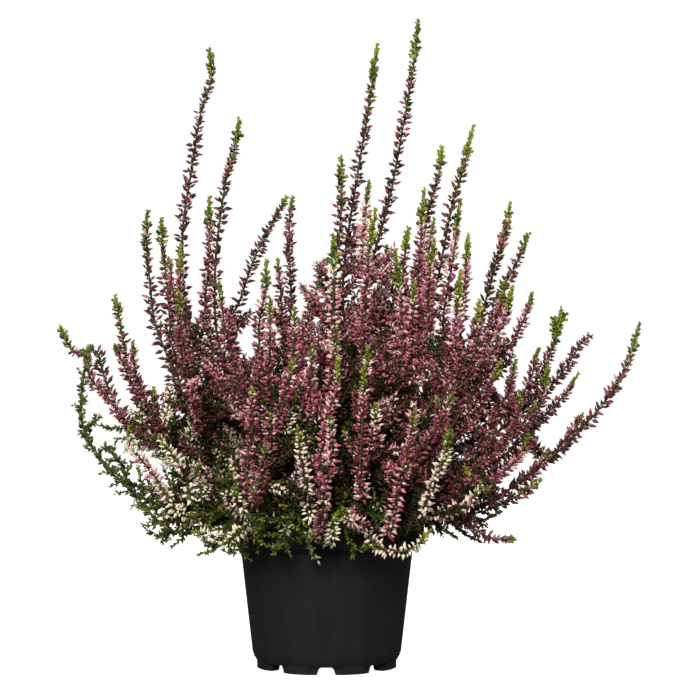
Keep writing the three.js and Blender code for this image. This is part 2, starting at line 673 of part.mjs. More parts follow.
// The rings of one shoot: bare stem, then growth in opposite pairs, then the green tip.
function ringsOf(shoot) {
  const { bare, length, green, habit, mother } = shoot;
  const growth = GROWTH[habit];
  const rings = [];
  const foot = mother ? STEM_THIN + 0.2 : STEM_FOOT;
  const step = length / (shoot.dots.length - 1);
  const top = Math.max(shoot.firm, Math.floor(bare / step));
  const upright = mother ? 0 : shoot.firm - 1;
  for (const k of new Set([0, upright, ...bendsBetween(shoot.dots, upright, top)])) {
    const core = foot + (STEM_THIN - foot) * ((k * step) / length);
    rings.push({ along: k * step, core, reach: core, lift: 0 });
  }
  const pairs = Math.max(1, Math.round((length - green - bare) / growth.pitch));
  for (let i = 0; i < pairs; i++) {
    const along = bare + ((i + 0.5) / pairs) * (length - green - bare);
    const full = Math.min(1, 0.75 + 0.25 * i, 0.7 + 0.3 * (pairs - 1 - i));
    rings.push({ along, core: growth.core, reach: growth.reach * full, lift: growth.lift });
  }
  const tips = Math.round(green / GROWTH.tip.pitch);
  for (let i = 0; i < tips; i++) {
    const narrow = 1 - 0.5 * ((i + 0.5) / tips);
    const along = length - green + ((i + 0.5) / tips) * green * 0.85;
    const { core, reach, lift } = GROWTH.tip;
    rings.push({ along, core: core * narrow, reach: reach * narrow, lift });
  }
  return rings;
}

// One shoot as a closed solid. Each ring has four corners: two stand out as buds or leaves, lifted
// towards the tip, and two stay at the core, and the next ring is the other way round.
function makeShoot(shoot) {
  const corners = [];
  const triangles = [];
  const tip = placeAlong(shoot, shoot.length);
  let side = new THREE.Vector3(1, 0, 0);
  ringsOf(shoot).forEach(({ along, core, reach, lift }, k) => {
    const here = placeAlong(shoot, along);
    const ahead = placeAlong(shoot, Math.min(along + 3, shoot.length));
    const behind = placeAlong(shoot, Math.max(along - 3, 0));
    const up = ahead.sub(behind).normalize();
    side = side.clone().addScaledVector(up, -side.dot(up)).normalize();
    const other = new THREE.Vector3().crossVectors(up, side);
    for (let c = 0; c < 4; c++) {
      const direction = (c % 2 ? other : side).clone().multiplyScalar(c < 2 ? 1 : -1);
      const out = (c + k) % 2 === 0;
      const corner = here.clone().addScaledVector(direction, out ? reach : core);
      if (out) corner.addScaledVector(up, lift);
      corners.push(corner);
    }
  });
  const rings = corners.length / 4;
  for (let k = 0; k < rings - 1; k++) {
    for (let c = 0; c < 4; c++) {
      const [a, b] = [4 * k + c, 4 * k + ((c + 1) % 4)];
      const [d, e] = [a + 4, b + 4];
      // the edge runs between the two corners at the core, so that each bud is a four-sided point
      if ((c + k) % 2 === 0) triangles.push(a, b, d, b, e, d);
      else triangles.push(a, b, e, a, e, d);
    }
  }
  triangles.push(0, 2, 1, 0, 3, 2);
  const last = 4 * (rings - 1);
  corners.push(tip);
  for (let c = 0; c < 4; c++) triangles.push(last + c, last + ((c + 1) % 4), corners.length - 1);
  return toSolid(corners, triangles);
}

// ---- the whole plant ----------------------------------------------------------------------------

const paint = (color, roughness) => new THREE.MeshStandardMaterial({ color, roughness, metalness: 0 });
const PAINT = {
  pot: paint(0x242426, 0.55),
  soil: paint(0x3a2a20, 0.95),
  rose: paint(0xb4446f, 0.7),
  crimson: paint(0x8e2547, 0.7),
  pale: paint(0xd79bb0, 0.7),
  dusk: paint(0x8c5a62, 0.75),
  white: paint(0xe6dfcc, 0.7),
  leaf: paint(0x4d6a2c, 0.75),
};

const plant = new THREE.Group();
function addPiece(name, solid, material) {
  const mesh = new THREE.Mesh(toGeometry(solid), material);
  mesh.name = name;
  plant.add(mesh);
}

const sprays = growSprays();
giveWay(sprays);
addPiece("pot", makePot(), PAINT.pot);
addPiece("soil", makeSoil(sprays.map(([main]) => main.foot)), PAINT.soil);
const counts = { flower: 0, leafy: 0 };
for (const shoots of sprays) {
  const kind = shoots[0].habit === "leafy" ? "leafy" : "flower";
  counts[kind] += 1;
  const name = `${kind}_spray_${String(counts[kind]).padStart(2, "0")}`;
  addPiece(name, wasm.Manifold.union(shoots.map(makeShoot)), PAINT[shoots[0].tint]);
}

// The origin goes to the middle of the footprint.
plant.updateMatrixWorld(true);
const bounds = new THREE.Box3().setFromObject(plant, true);
const centre = bounds.getCenter(new THREE.Vector3());
for (const mesh of plant.children) mesh.geometry.translate(-centre.x, -centre.y, -bounds.min.z);

export default plant;
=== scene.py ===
# A bud-flowering heather in a plastic nursery pot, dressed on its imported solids. Metres, +Z up.

import math
from functools import reduce
from types import SimpleNamespace

import bpy
import numpy as np
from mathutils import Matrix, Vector


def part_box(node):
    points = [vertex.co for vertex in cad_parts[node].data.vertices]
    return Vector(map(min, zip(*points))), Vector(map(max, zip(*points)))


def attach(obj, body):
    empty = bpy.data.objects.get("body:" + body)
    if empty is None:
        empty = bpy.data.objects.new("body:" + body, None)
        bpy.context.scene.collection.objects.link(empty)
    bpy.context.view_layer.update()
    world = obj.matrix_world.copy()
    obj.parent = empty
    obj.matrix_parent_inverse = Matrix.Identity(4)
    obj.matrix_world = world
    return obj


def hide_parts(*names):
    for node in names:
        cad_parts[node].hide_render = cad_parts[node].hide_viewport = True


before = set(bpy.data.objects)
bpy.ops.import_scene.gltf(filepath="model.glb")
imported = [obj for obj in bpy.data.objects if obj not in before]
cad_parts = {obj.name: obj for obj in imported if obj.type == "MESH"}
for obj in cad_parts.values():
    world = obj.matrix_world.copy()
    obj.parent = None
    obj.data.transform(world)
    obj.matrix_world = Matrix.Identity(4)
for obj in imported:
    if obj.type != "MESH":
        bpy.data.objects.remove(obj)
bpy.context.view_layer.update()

# ---- pot ----------------------------------------------------------------------------------------
# A round nursery pot, moulded in one shot of black polypropylene: an upright rim band, a step, a
# tapered body, and a foot ring whose eight notches let water out. Each notch lies in a shallow
# pocket. The skin is satin with a fine grain, and holds a little potting dust.

MM = 0.001
pot_low, pot_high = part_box("pot")
POT_AXIS = np.array([(pot_low.x + pot_high.x) / 2, (pot_low.y + pot_high.y) / 2, pot_low.z])
POT_HEIGHT = (pot_high.z - pot_low.z) / MM
RIM_RADIUS = (pot_high.x - pot_low.x) / 2 / MM
RIM_BAND, SHOULDER = 13.5, 3.5  # heights of the upright band and of the step under it
BODY_TOP, BODY_TOP_RADIUS = POT_HEIGHT - RIM_BAND - SHOULDER, 53.0
BODY_FOOT, BODY_FOOT_RADIUS = 9.0, 45.6
LEDGE, LEDGE_REACH = 7.2, 1.4  # the small ledge that the foot ring ends in
FOOT_RADIUS, FOOT_HEIGHT, FOOT_WIDTH = 43.6, 5.0, 8.0
FLOOR_TOP = 6.6
WALL = 1.3
DRAFT = 0.4
CORNER = 0.5  # radius of the moulded corners
POT_FACETS = 144
NOTCHES, NOTCH_TOP, NOTCH_FOOT = 8, 7.5, 12.0
POCKET_WIDTH, POCKET_TOP, POCKET_DEPTH = 20.0, 4.7, 2.0
DRAIN_HOLES, DRAIN_RADIUS, DRAIN_CIRCLE, DRAIN_FACETS = 6, 4.0, 31.0, 24
DUST_DRIFTS = 38.0  # scale of the patches that dust gathers in
BARE, DUSTY = 1.15, 0.65  # the least speck that shows on the body, and at the rim


def feed(fed, inputs):
    """Sets inputs of a node. Each is a value, or the output socket that feeds it."""
    for key, value in inputs.items():
        if isinstance(value, bpy.types.NodeSocket):
            fed.id_data.links.new(value, fed.inputs[key])
        else:
            fed.inputs[key].default_value = value


def node(tree, kind, inputs=None, **settings):
    """Adds a node with its settings and inputs."""
    made = tree.nodes.new(kind)
    for name, value in settings.items():
        setattr(made, name, value)
    feed(made, inputs or {})
    return made


def wire(tree, kind, inputs=None, out=0, **settings):
    """Adds a node, and gives the output that is wanted of it."""
    return node(tree, kind, inputs, **settings).outputs[out]


def maths(operation, *values):
    """The result of one sum on sockets and numbers."""
    tree = next(value.id_data for value in values if isinstance(value, bpy.types.NodeSocket))
    return wire(tree, "ShaderNodeMath", dict(enumerate(values)), operation=operation)


def plus(*values):
    return reduce(lambda a, b: maths("ADD", a, b), values)


def times(*values):
    return reduce(lambda a, b: maths("MULTIPLY", a, b), values)


def ranged(value, low, high, to_low, to_high):
    """A value carried over from one range to another, and held inside it."""
    return wire(value.id_data, "ShaderNodeMapRange", {0: value, 1: low, 2: high, 3: to_low, 4: to_high})


def ramp(factor, *stops):
    """A colour ramp through stops of (place, colour)."""
    made = node(factor.id_data, "ShaderNodeValToRGB", {"Fac": factor})
    elements = made.color_ramp.elements
    for place, _ in stops[1:-1]:
        elements.new(place)
    for element, (place, colour) in zip(elements, stops):
        element.position = place
        element.color = (*colour, 1)
    return made.outputs["Color"]


def mixed(factor, under, over):
    """Two colours mixed by a mask."""
    inputs = {0: factor, 6: under, 7: over}
    return wire(factor.id_data, "ShaderNodeMix", inputs, out=2, data_type="RGBA")


def noise(place, scale, detail, **more):
    inputs = {"Vector": place, "Scale": scale, "Detail": detail, **more}
    return wire(place.id_data, "ShaderNodeTexNoise", inputs)


def dust_over(place, size, least):
    """A mask of fine specks that lie in drifts: those that come above the least show."""
    held = plus(noise(place, size, 3.0), times(noise(place, DUST_DRIFTS, 4.0), 0.8))
    return wire(place.id_data, "ShaderNodeClamp", {"Value": times(maths("SUBTRACT", held, least), 4.0)})


def new_material(name, plain):
    """An empty material, with its tree and its Principled shader with plain values."""
    material = bpy.data.materials.new(name)
    material.use_nodes = True
    tree = material.node_tree
    tree.nodes.clear()
    shader = node(tree, "ShaderNodeBsdfPrincipled", plain)
    node(tree, "ShaderNodeOutputMaterial", {"Surface": shader.outputs[0]})
    return material, tree, shader


def new_mesh(name, corners, faces):
    """A mesh object in the scene, from corners in metres."""
    mesh = bpy.data.meshes.new(name)
    mesh.from_pydata([tuple(c) for c in corners], [], faces)
    mesh.validate()
    made = bpy.data.objects.new(name, mesh)
    bpy.context.scene.collection.objects.link(made)
    return made


def shade(piece, crease=30):
    """Smooth faces, with sharp edges where two of them meet at more than the crease angle."""
    piece.data.shade_smooth()
    piece.data.set_sharp_from_angle(angle=math.radians(crease))


def eased(profile, radius, steps=3):
    """A profile with each corner rounded off by a short arc."""
    rounded = [profile[0]]
    for before, corner, after in zip(profile, profile[1:], profile[2:]):
        corner = np.array(corner)
        arms = [np.array(end) - corner for end in (before, after)]
        reach = min(radius, *(0.4 * np.linalg.norm(arm) for arm in arms))
        start, end = (corner + arm / np.linalg.norm(arm) * reach for arm in arms)
        for t in np.linspace(0, 1, steps + 1):
            rounded.append(tuple((1 - t) ** 2 * start + 2 * t * (1 - t) * corner + t * t * end))
    return [*rounded, profile[-1]]


def turned(name, profile, facets):
    """A closed solid from a profile of (radius, height) in mm, turned round the pot's axis."""
    rings = profile[1:-1]
    turns = np.linspace(0, 2 * math.pi, facets, endpoint=False)
    corners = [(r * math.cos(a), r * math.sin(a), z) for r, z in rings for a in turns]
    corners += [(0, 0, profile[0][1]), (0, 0, profile[-1][1])]
    under, over = len(corners) - 2, len(corners) - 1
    top = (len(rings) - 1) * facets
    faces = []
    for i in range(facets):
        after = (i + 1) % facets
        faces.append((under, after, i))
        faces.append((top + i, top + after, over))
        for low in range(0, top, facets):
            faces.append((low + i, low + after, low + facets + after, low + facets + i))
    return new_mesh(name, np.array(corners) * MM + POT_AXIS, faces)


def prism(outline, length):
    """Corners and faces of a closed outline, drawn along its normal from 0 to a length."""
    count = len(outline)
    corners = np.array([(x, z, along) for along in (0, length) for x, z in outline])
    sides = [(i, (i + 1) % count, count + (i + 1) % count, count + i) for i in range(count)]
    return corners, [tuple(range(count))[::-1], tuple(range(count, 2 * count)), *sides]


def bake_modifiers(piece):
    """Works the piece's modifiers into a plain mesh."""
    evaluated = piece.evaluated_get(bpy.context.evaluated_depsgraph_get())
    mesh = bpy.data.meshes.new_from_object(evaluated)
    piece.modifiers.clear()
    piece.data = mesh


def cut_round(piece, corners, faces, count, first=0.0):
    """Cuts a shape out of a piece at each of several equal turns round the pot's axis."""
    places, sides = [], []
    for i in range(count):
        turn = (first + i) / count * 2 * math.pi
        c, s = math.cos(turn), math.sin(turn)
        sides += [tuple(k + i * len(corners) for k in side) for side in faces]
        places.append(corners @ np.array([[c, s, 0], [-s, c, 0], [0, 0, 1]]))
    cutter = new_mesh("cutter", np.vstack(places) * MM + POT_AXIS, sides)
    cut = piece.modifiers.new("cut", "BOOLEAN")
    cut.object, cut.solver = cutter, "EXACT"
    bake_modifiers(piece)
    bpy.data.objects.remove(cutter)


pot_outside = [
    (1, FOOT_HEIGHT),
    (FOOT_RADIUS - FOOT_WIDTH, FOOT_HEIGHT),
    (FOOT_RADIUS - FOOT_WIDTH, 0),
    (FOOT_RADIUS, 0),
    (FOOT_RADIUS, FOOT_HEIGHT),
    (FOOT_RADIUS + LEDGE_REACH, LEDGE),
    (FOOT_RADIUS + 1.1, LEDGE + 0.15),
    (BODY_FOOT_RADIUS, BODY_FOOT),
    (BODY_TOP_RADIUS, BODY_TOP),
    (RIM_RADIUS - DRAFT, BODY_TOP + SHOULDER),
    (RIM_RADIUS, POT_HEIGHT),
]
pot_inside = [
    (RIM_RADIUS - WALL, POT_HEIGHT),
    (RIM_RADIUS - WALL - DRAFT, BODY_TOP + SHOULDER + 0.7),
    (BODY_TOP_RADIUS - WALL, BODY_TOP + 0.4),
    (BODY_FOOT_RADIUS - WALL, BODY_FOOT + 0.4),
    (FOOT_RADIUS - WALL, FLOOR_TOP),
    (1, FLOOR_TOP),
]
pot_profile = [(0, FOOT_HEIGHT), *eased(pot_outside + pot_inside, CORNER), (0, FLOOR_TOP)]
pot = turned("nursery_pot", pot_profile, POT_FACETS)
# the right half of each cut's outline, from its foot
pocket = [(POCKET_WIDTH / 2, -1), (POCKET_WIDTH / 2 - DRAFT, POCKET_TOP)]
notch = [
    (NOTCH_FOOT / 2, -1),
    (NOTCH_TOP / 2 + 0.6, FOOT_HEIGHT - 1.4),
    (NOTCH_TOP / 2 - 0.8, FOOT_HEIGHT - 0.4),
]
for half, nearest in ((pocket, FOOT_RADIUS - POCKET_DEPTH), (notch, FOOT_RADIUS - FOOT_WIDTH - 1)):
    left = [(-x, z) for x, z in half]
    shape, sides = prism(left[:1] + half + left[:0:-1], FOOT_WIDTH + 6)
    shape = np.stack([shape[:, 0], -nearest - shape[:, 2], shape[:, 1]], 1)
    cut_round(pot, shape, sides, NOTCHES)
turns = np.linspace(0, 2 * math.pi, DRAIN_FACETS, endpoint=False)
shape, sides = prism(list(zip(DRAIN_RADIUS * np.cos(turns), DRAIN_RADIUS * np.sin(turns))), 8)
cut_round(pot, shape + (DRAIN_CIRCLE, 0, FOOT_HEIGHT - 3), sides, DRAIN_HOLES, first=0.5)
shade(pot)

plastic, tree, shader = new_material("pot_plastic", {"Specular IOR Level": 0.02})
place = wire(tree, "ShaderNodeTexCoord", out="Object")
height = wire(tree, "ShaderNodeSeparateXYZ", {0: place}, out="Z")
flow_marks = noise(wire(tree, "ShaderNodeMapping", {"Vector": place, "Scale": (90, 90, 6)}), 1.0, 4.0)
black = ramp(flow_marks, (0.35, (0.0155, 0.0157, 0.0158)), (0.7, (0.0195, 0.0197, 0.0198)))
dust = dust_over(place, 900.0, ranged(height, 0.070, 0.090, BARE, DUSTY))
grain = noise(place, 1400.0, 2.0)
look = {
    "Base Color": mixed(times(dust, 0.25), black, (0.06, 0.045, 0.03, 1)),
    "Roughness": plus(ranged(flow_marks, 0.3, 0.7, 0.6, 0.72), times(dust, 0.3)),
    "Normal": wire(tree, "ShaderNodeBump", {"Height": grain, "Strength": 0.12, "Distance": 0.0002}),
}
feed(shader, look)
pot.data.materials.clear()
pot.data.materials.append(plastic)
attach(pot, "root")
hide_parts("pot")

# ---- soil ---------------------------------------------------------------------------------------
# The root ball: moist peat with wood fibre, pressed into the pot to 10 mm under its rim. It keeps
# the pot's shape under its crumbly top, and every stem is rooted in it.

SOIL_TOP = 80.0
SOIL_GAP = 0.3
SOIL_FACETS, SOIL_RINGS = 72, 14
LUMP_HEIGHT = 0.65
CRUMBS_PER_M2 = 90000.0
CRUMB_SIZE = 1.5
CRUMB_SHAPE = ((0.5, 2.2), (0.4, 1.0), (0.3, 0.8))  # from and to, of its size each way

soil_side = [(r - SOIL_GAP, z) for r, z in pot_inside[::-1][1:]]
soil_side = [(r, max(z, FLOOR_TOP + SOIL_GAP)) for r, z in soil_side if z < SOIL_TOP]
edge = soil_side[-1][0] + 0.1
soil_top = [
    (edge * (1 - k / SOIL_RINGS), SOIL_TOP + 0.6 * math.sin(2.2 * k)) for k in range(SOIL_RINGS)
]
soil_profile = [(0, FLOOR_TOP + SOIL_GAP), *soil_side, *soil_top, (0, SOIL_TOP)]
soil = turned("peat_root_ball", soil_profile, SOIL_FACETS)
for corner in soil.data.vertices:
    x, y, z = corner.co
    if z > (SOIL_TOP - 2) * MM:
        across = math.hypot(x - POT_AXIS[0], y - POT_AXIS[1]) / MM
        lump = math.sin(x * 310 + 1) * math.cos(y * 270) + math.sin(x * 130 - y * 170 + 2)
        corner.co.z += LUMP_HEIGHT * lump * MM * min(1, (edge - across) / 3)


def new_tree(name, **labels):
    """A geometry tree with a geometry input and output, and more inputs, listed by their kind."""
    tree = bpy.data.node_groups.new(name, "GeometryNodeTree")
    tree.interface.new_socket("Geometry", in_out="OUTPUT", socket_type="NodeSocketGeometry")
    for kind, listed in {"Geometry": "Geometry", **labels}.items():
        for label in listed.split(", "):
            tree.interface.new_socket(label, in_out="INPUT", socket_type="NodeSocket" + kind)
    return tree, tree.nodes.new("NodeGroupInput").outputs, tree.nodes.new("NodeGroupOutput")


def grow_by_nodes(piece, tree, values):
    """Runs a geometry tree on a piece with these inputs, and leaves the plain mesh that it makes."""
    grown = piece.modifiers.new("nodes", "NODES")
    grown.node_group = tree
    for item in tree.interface.items_tree:
        if item.in_out == "INPUT" and item.name in values:
            grown[item.identifier] = values[item.name]
    bake_modifiers(piece)


def random_value(tree, low, high, seed):
    """A random number for each element."""
    inputs = {2: low, 3: high, "Seed": seed}
    return wire(tree, "FunctionNodeRandomValue", inputs, out=1, data_type="FLOAT")


def join(*parts):
    """Several geometries as one."""
    made = node(parts[0].id_data, "GeometryNodeJoinGeometry")
    for part in parts:
        feed(made, {0: part})
    return made.outputs[0]


def real_faces(geometry, material=None):
    """The end of a tree: real faces, in their material if one is named."""
    real = wire(geometry.id_data, "GeometryNodeRealizeInstances", {0: geometry})
    worn = {"Geometry": real, "Material": material}
    return {"Geometry": wire(real.id_data, "GeometryNodeSetMaterial", worn) if material else real}


crumbs, given, out = new_tree("soil_crumbs", Float="Density, Size", Int="Seed", Material="Material")
upward = wire(crumbs, "ShaderNodeSeparateXYZ", {0: wire(crumbs, "GeometryNodeInputNormal")}, out="Z")
inputs = {"Mesh": given["Geometry"], "Density": given["Density"], "Seed": given["Seed"]}
inputs["Selection"] = maths("GREATER_THAN", upward, 0.6)
places = wire(crumbs, "GeometryNodeDistributePointsOnFaces", inputs)
full_turn = {0: (0, 0, 0), 1: (6.28, 6.28, 6.28)}
turn = wire(crumbs, "FunctionNodeRandomValue", full_turn, data_type="FLOAT_VECTOR")
size = {
    k: times(given["Size"], random_value(crumbs, *shape, k + 1))
    for k, shape in enumerate(CRUMB_SHAPE)
}
inputs = {
    "Points": places,
    "Instance": wire(crumbs, "GeometryNodeMeshIcoSphere", {"Radius": 0.5, "Subdivisions": 1}),
    "Rotation": wire(crumbs, "FunctionNodeEulerToRotation", {0: turn}),
    "Scale": wire(crumbs, "ShaderNodeCombineXYZ", size),
}
lumps = wire(crumbs, "GeometryNodeInstanceOnPoints", inputs)
feed(out, real_faces(join(lumps, given["Geometry"]), given["Material"]))

peat, tree, shader = new_material("peat", {"Specular IOR Level": 0.25})
place = wire(tree, "ShaderNodeTexCoord", out="Object")
fibres = noise(place, 420.0, 6.0, Distortion=1.5)
clods = wire(tree, "ShaderNodeTexVoronoi", {"Vector": place, "Scale": 520.0}, out="Distance")
brown = ramp(
    fibres, (0.3, (0.008, 0.0045, 0.003)), (0.55, (0.035, 0.02, 0.012)), (0.8, (0.11, 0.068, 0.04))
)
dust = dust_over(place, 300.0, 0.73)
relief = {"Height": plus(fibres, clods), "Strength": 0.9, "Distance": 0.0012}
look = {
    "Base Color": mixed(times(dust, 0.5), brown, (0.14, 0.10, 0.07, 1)),
    "Roughness": ramp(fibres, (0.3, (0.7, 0.7, 0.7)), (0.7, (0.98, 0.98, 0.98))),
    "Normal": wire(tree, "ShaderNodeBump", relief),
}
feed(shader, look)
values = {"Density": CRUMBS_PER_M2, "Size": CRUMB_SIZE * MM, "Seed": 4, "Material": peat}
grow_by_nodes(soil, crumbs, values)
shade(soil, 50)
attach(soil, "root")
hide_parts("soil")

# ---- shoots: the lines they follow --------------------------------------------------------------
# The plant is 58 sprays: a woody main shoot that stands in the soil, with the side shoots it bears.
# Their lines are drawn below on the upright plane through the pot's axis, as they look from in
# front; roots, sides and the fill at the back follow by rule, and stems that touch give way.

VIEW_DISTANCE, VIEW_HEIGHT, VIEW_RIGHT = 1350.0, 195.0, 13.0  # of the eye, from the pot's foot
HOLE_BOTTOM = 62.3  # height
UPRIGHT = (72, 81, 88)  # heights at which a main still stands straight over its hole
OVER_RIM_FROM, OVER_RIM_BELOW = 55, 112  # a main that starts further out and lower crosses the rim
OVER_RIM_AT, OVER_RIM_HEIGHT = 51, 8  # how far out it is before it does so, and how far above the rim
FEET_RADIUS = 42.0  # the stems stand inside this circle
FEET_SPAN = 95.0  # a main that starts this far out stands at the edge of it
FEET_APART, FEET_ROUNDS = 8.8, 300
FOOT_POINTS = 7  # points of a stem that lie near its foot
RIM_ROOM, INSIDE_ROOM, SOIL_RELIEF = 2.4, 9, 1.3  # kept clear of the rim, of its inside, of the soil
TOUCH_REACH = 26  # points further apart than this, beyond their own room, never meet
SAMPLE = 4.8  # spacing of the points that a stem's line is held by
ROOM = 1.0  # kept clear between stems that give way to each other
BARE_ROOM, TIP_ROOM = 1.9, 2.9  # half the width kept for a bare stem and for a green tip
HALF_WIDTH = {"open": 6.4, "dense": 5.2, "leafy": 4.4}  # and for the rest of a shoot
ROUNDS = 240  # of giving way
LATE_FROM = 0.85  # share of the rounds after which bends are evened out less

# Each row is a shoot: its tint, its habit, the length of its green tip, its depth at its low end and
# at its tip (negative is nearer the front), and the x and z of points along it from its low end.
# A plus marks a side shoot, which the main above it bears.
FLOWERING = [
    "dusk open 7 0 10 -100 141 -121 148 -135 172 -143 194 -155 192 -164 208",
    "+ pale dense 5 -8 -8 -121 148 -137 168 -145 176 -147 196",
    "dusk open 7 15 20 -100 141 -115 163 -122 181 -127 209 -130 226",
    "+ rose dense 5 0 -5 -109 148 -118 168 -126 186 -130 196",
    "+ rose dense 5 -12 -24 -101 146 -111 163 -118 181 -119 198",
    "pale dense 5 -45 -60 -76 92 -90 98 -105 116 -112 125 -121 135 -122 148",
    "+ white dense 4 -50 -55 -83 100 -86 114 -95 129 -103 140",
    "white dense 4 -56 -52 -44 92 -56 84 -68 79 -84 82",
    "+ white dense 4 -62 -66 -50 84 -60 76 -72 70",
    "dusk open 8 20 35 -81 151 -95 185 -105 209 -109 237 -111 264 -110 280",
    "+ rose open 8 5 10 -87 163 -95 197 -98 229 -101 261 -102 274",
    "rose dense 14 20 25 -81 163 -85 197 -90 231 -90 256",
    "+ rose dense 5 -10 -12 -84 169 -89 200 -93 218 -97 249",
    "+ rose dense 12 -35 -45 -85 175 -90 206 -91 228",
    "dusk open 12 40 70 -84 206 -89 261 -83 306 -77 342 -71 361 -72 378",
    "dusk open 10 25 35 -67 200 -69 231 -68 255 -62 298 -57 317 -54 335",
    "+ rose dense 16 -20 -25 -69 181 -71 197 -75 218 -73 243 -72 287",
    "rose dense 9 -45 -60 -54 175 -60 197 -63 209 -66 235",
    "+ rose dense 14 -15 -20 -40 181 -42 206 -38 231 -37 248",
    "dusk open 5 55 75 -59 211 -54 223 -44 252 -34 271 -25 287",
    "dusk dense 7 60 95 -21 206 -21 218 -23 252 -23 271 -21 287",
    "+ dusk dense 5 40 50 -26 200 -28 224 -30 248",
    "+ crimson dense 0 60 80 -14 197 -12 213 -9 224 -1 249",
    "rose dense 8 -60 -80 -35 170 -35 197 -35 225",
    "+ rose dense 4 -40 -48 -22 172 -20 200 -20 218",
    "dusk open 10 0 5 5 224 6 255 8 268 9 311",
    "+ pale dense 15 -45 -60 4 190 4 206 4 224 4 263",
    "rose open 22 25 35 10 212 10 238 14 272 19 303 26 345 31 381",
    "rose open 20 10 15 23 224 28 249 38 285 46 327 53 367 56 395",
    "rose dense 20 -40 -55 22 200 24 231 26 255 30 279",
    "+ pale dense 8 -20 -20 22 249 23 271 26 296",
    "rose dense 11 -80 -100 -4 120 0 149 6 169 7 188",
    "+ rose dense 9 -70 -85 2 163 4 185 6 206",
    "rose dense 8 -80 -95 -51 105 -47 138 -46 157 -46 170",
    "+ dusk dense 3 -85 -90 -42 96 -39 117 -38 135",
    "+ rose dense 3 -75 -85 -36 122 -35 138 -34 153",
    "pale dense 7 -76 -105 -8 90 -10 105 -15 125 -18 146",
    "rose dense 4 -84 -100 -3 99 1 120 3 135 2 152",
    "+ pale dense 3 -74 -80 4 76 6 86 9 100",
    "rose dense 4 -65 -85 -34 132 -27 160 -24 172 -21 185",
    "+ rose dense 5 -50 -62 -14 150 -10 176 -9 196",
    "crimson dense 12 -80 -95 22 100 20 115 22 151 23 182",
    "+ rose dense 9 -70 -80 24 163 25 178 25 194",
    "+ white dense 4 -78 -85 31 132 30 145 30 160",
    "crimson dense 9 -68 -105 36 80 43 105 51 135 54 156",
    "white dense 10 -66 -95 60 93 64 107 73 129 75 143",
    "+ rose dense 4 -60 -75 48 118 57 129 70 151 77 166",
    "dusk dense 12 10 10 46 224 47 243 50 268",
    "+ dusk dense 7 30 35 35 218 36 231 37 257",
    "rose dense 20 -35 -45 47 190 46 206 46 218 42 254",
    "+ rose dense 9 -50 -65 51 184 52 206 54 235",
    "dusk open 10 35 50 56 231 62 277 69 303 71 318",
    "+ rose dense 20 15 25 54 218 56 240 60 292",
    "rose dense 7 -10 -15 61 220 62 249 66 274",
    "+ rose dense 12 -30 -40 62 206 62 231 66 260",
    "dusk open 16 30 45 63 224 71 255 78 287 85 309 90 331",
    "rose dense 18 0 5 70 196 72 218 77 247 82 285",
    "+ rose dense 12 -15 -20 79 193 82 213 85 237 87 263",
    "pale dense 14 -40 -50 76 190 80 218 82 241",
    "+ rose dense 11 -45 -55 88 178 92 197 94 223",
    "rose open 12 25 35 88 194 96 218 103 245 109 264 113 283",
    "+ dusk dense 10 0 5 97 200 108 231 116 246 124 264",
    "pale dense 12 -35 -45 100 184 107 207 111 216 114 232",
    "+ rose dense 10 -20 -25 98 190 106 218 110 234",
    "rose dense 7 -5 -5 94 166 103 185 114 199 123 217 126 228",
    "+ rose dense 10 -30 -40 92 153 100 172 106 187",
    "dusk dense 19 10 15 113 151 125 169 138 194 144 218",
    "+ rose dense 7 0 0 119 163 126 178 130 194",
    "+ rose dense 12 -20 -25 120 132 128 151 133 168 136 186",
    "dusk dense 9 -5 -10 112 131 128 148 146 166 154 178",
    "+ crimson dense 0 25 40 131 163 140 174 151 189 157 199 162 202",
    "rose open 17 0 0 97 97 116 111 137 127 157 146 173 165 185 185 192 209",
    "+ rose dense 4 10 15 143 132 151 143 157 154",
    "+ rose dense 4 -10 -15 122 115 131 123 137 131",
    "rose dense 7 -45 -60 84 104 108 118 119 129 124 141",
    "+ dusk open 4 -40 -50 95 94 113 102 124 108 131 114",
    "pale dense 5 -60 -75 63 92 82 97 90 102 95 112",
    "+ dusk dense 4 -55 -60 76 91 88 86 99 79 115 77",
    "rose dense 5 -68 -76 24 82 34 72 52 71 63 82",
    "rose dense 7 -45 -55 100 128 116 148 119 167",
    "+ rose dense 7 -35 -45 100 148 111 169 116 187",
    "+ rose dense 4 -40 -45 109 138 120 148 128 160",
]

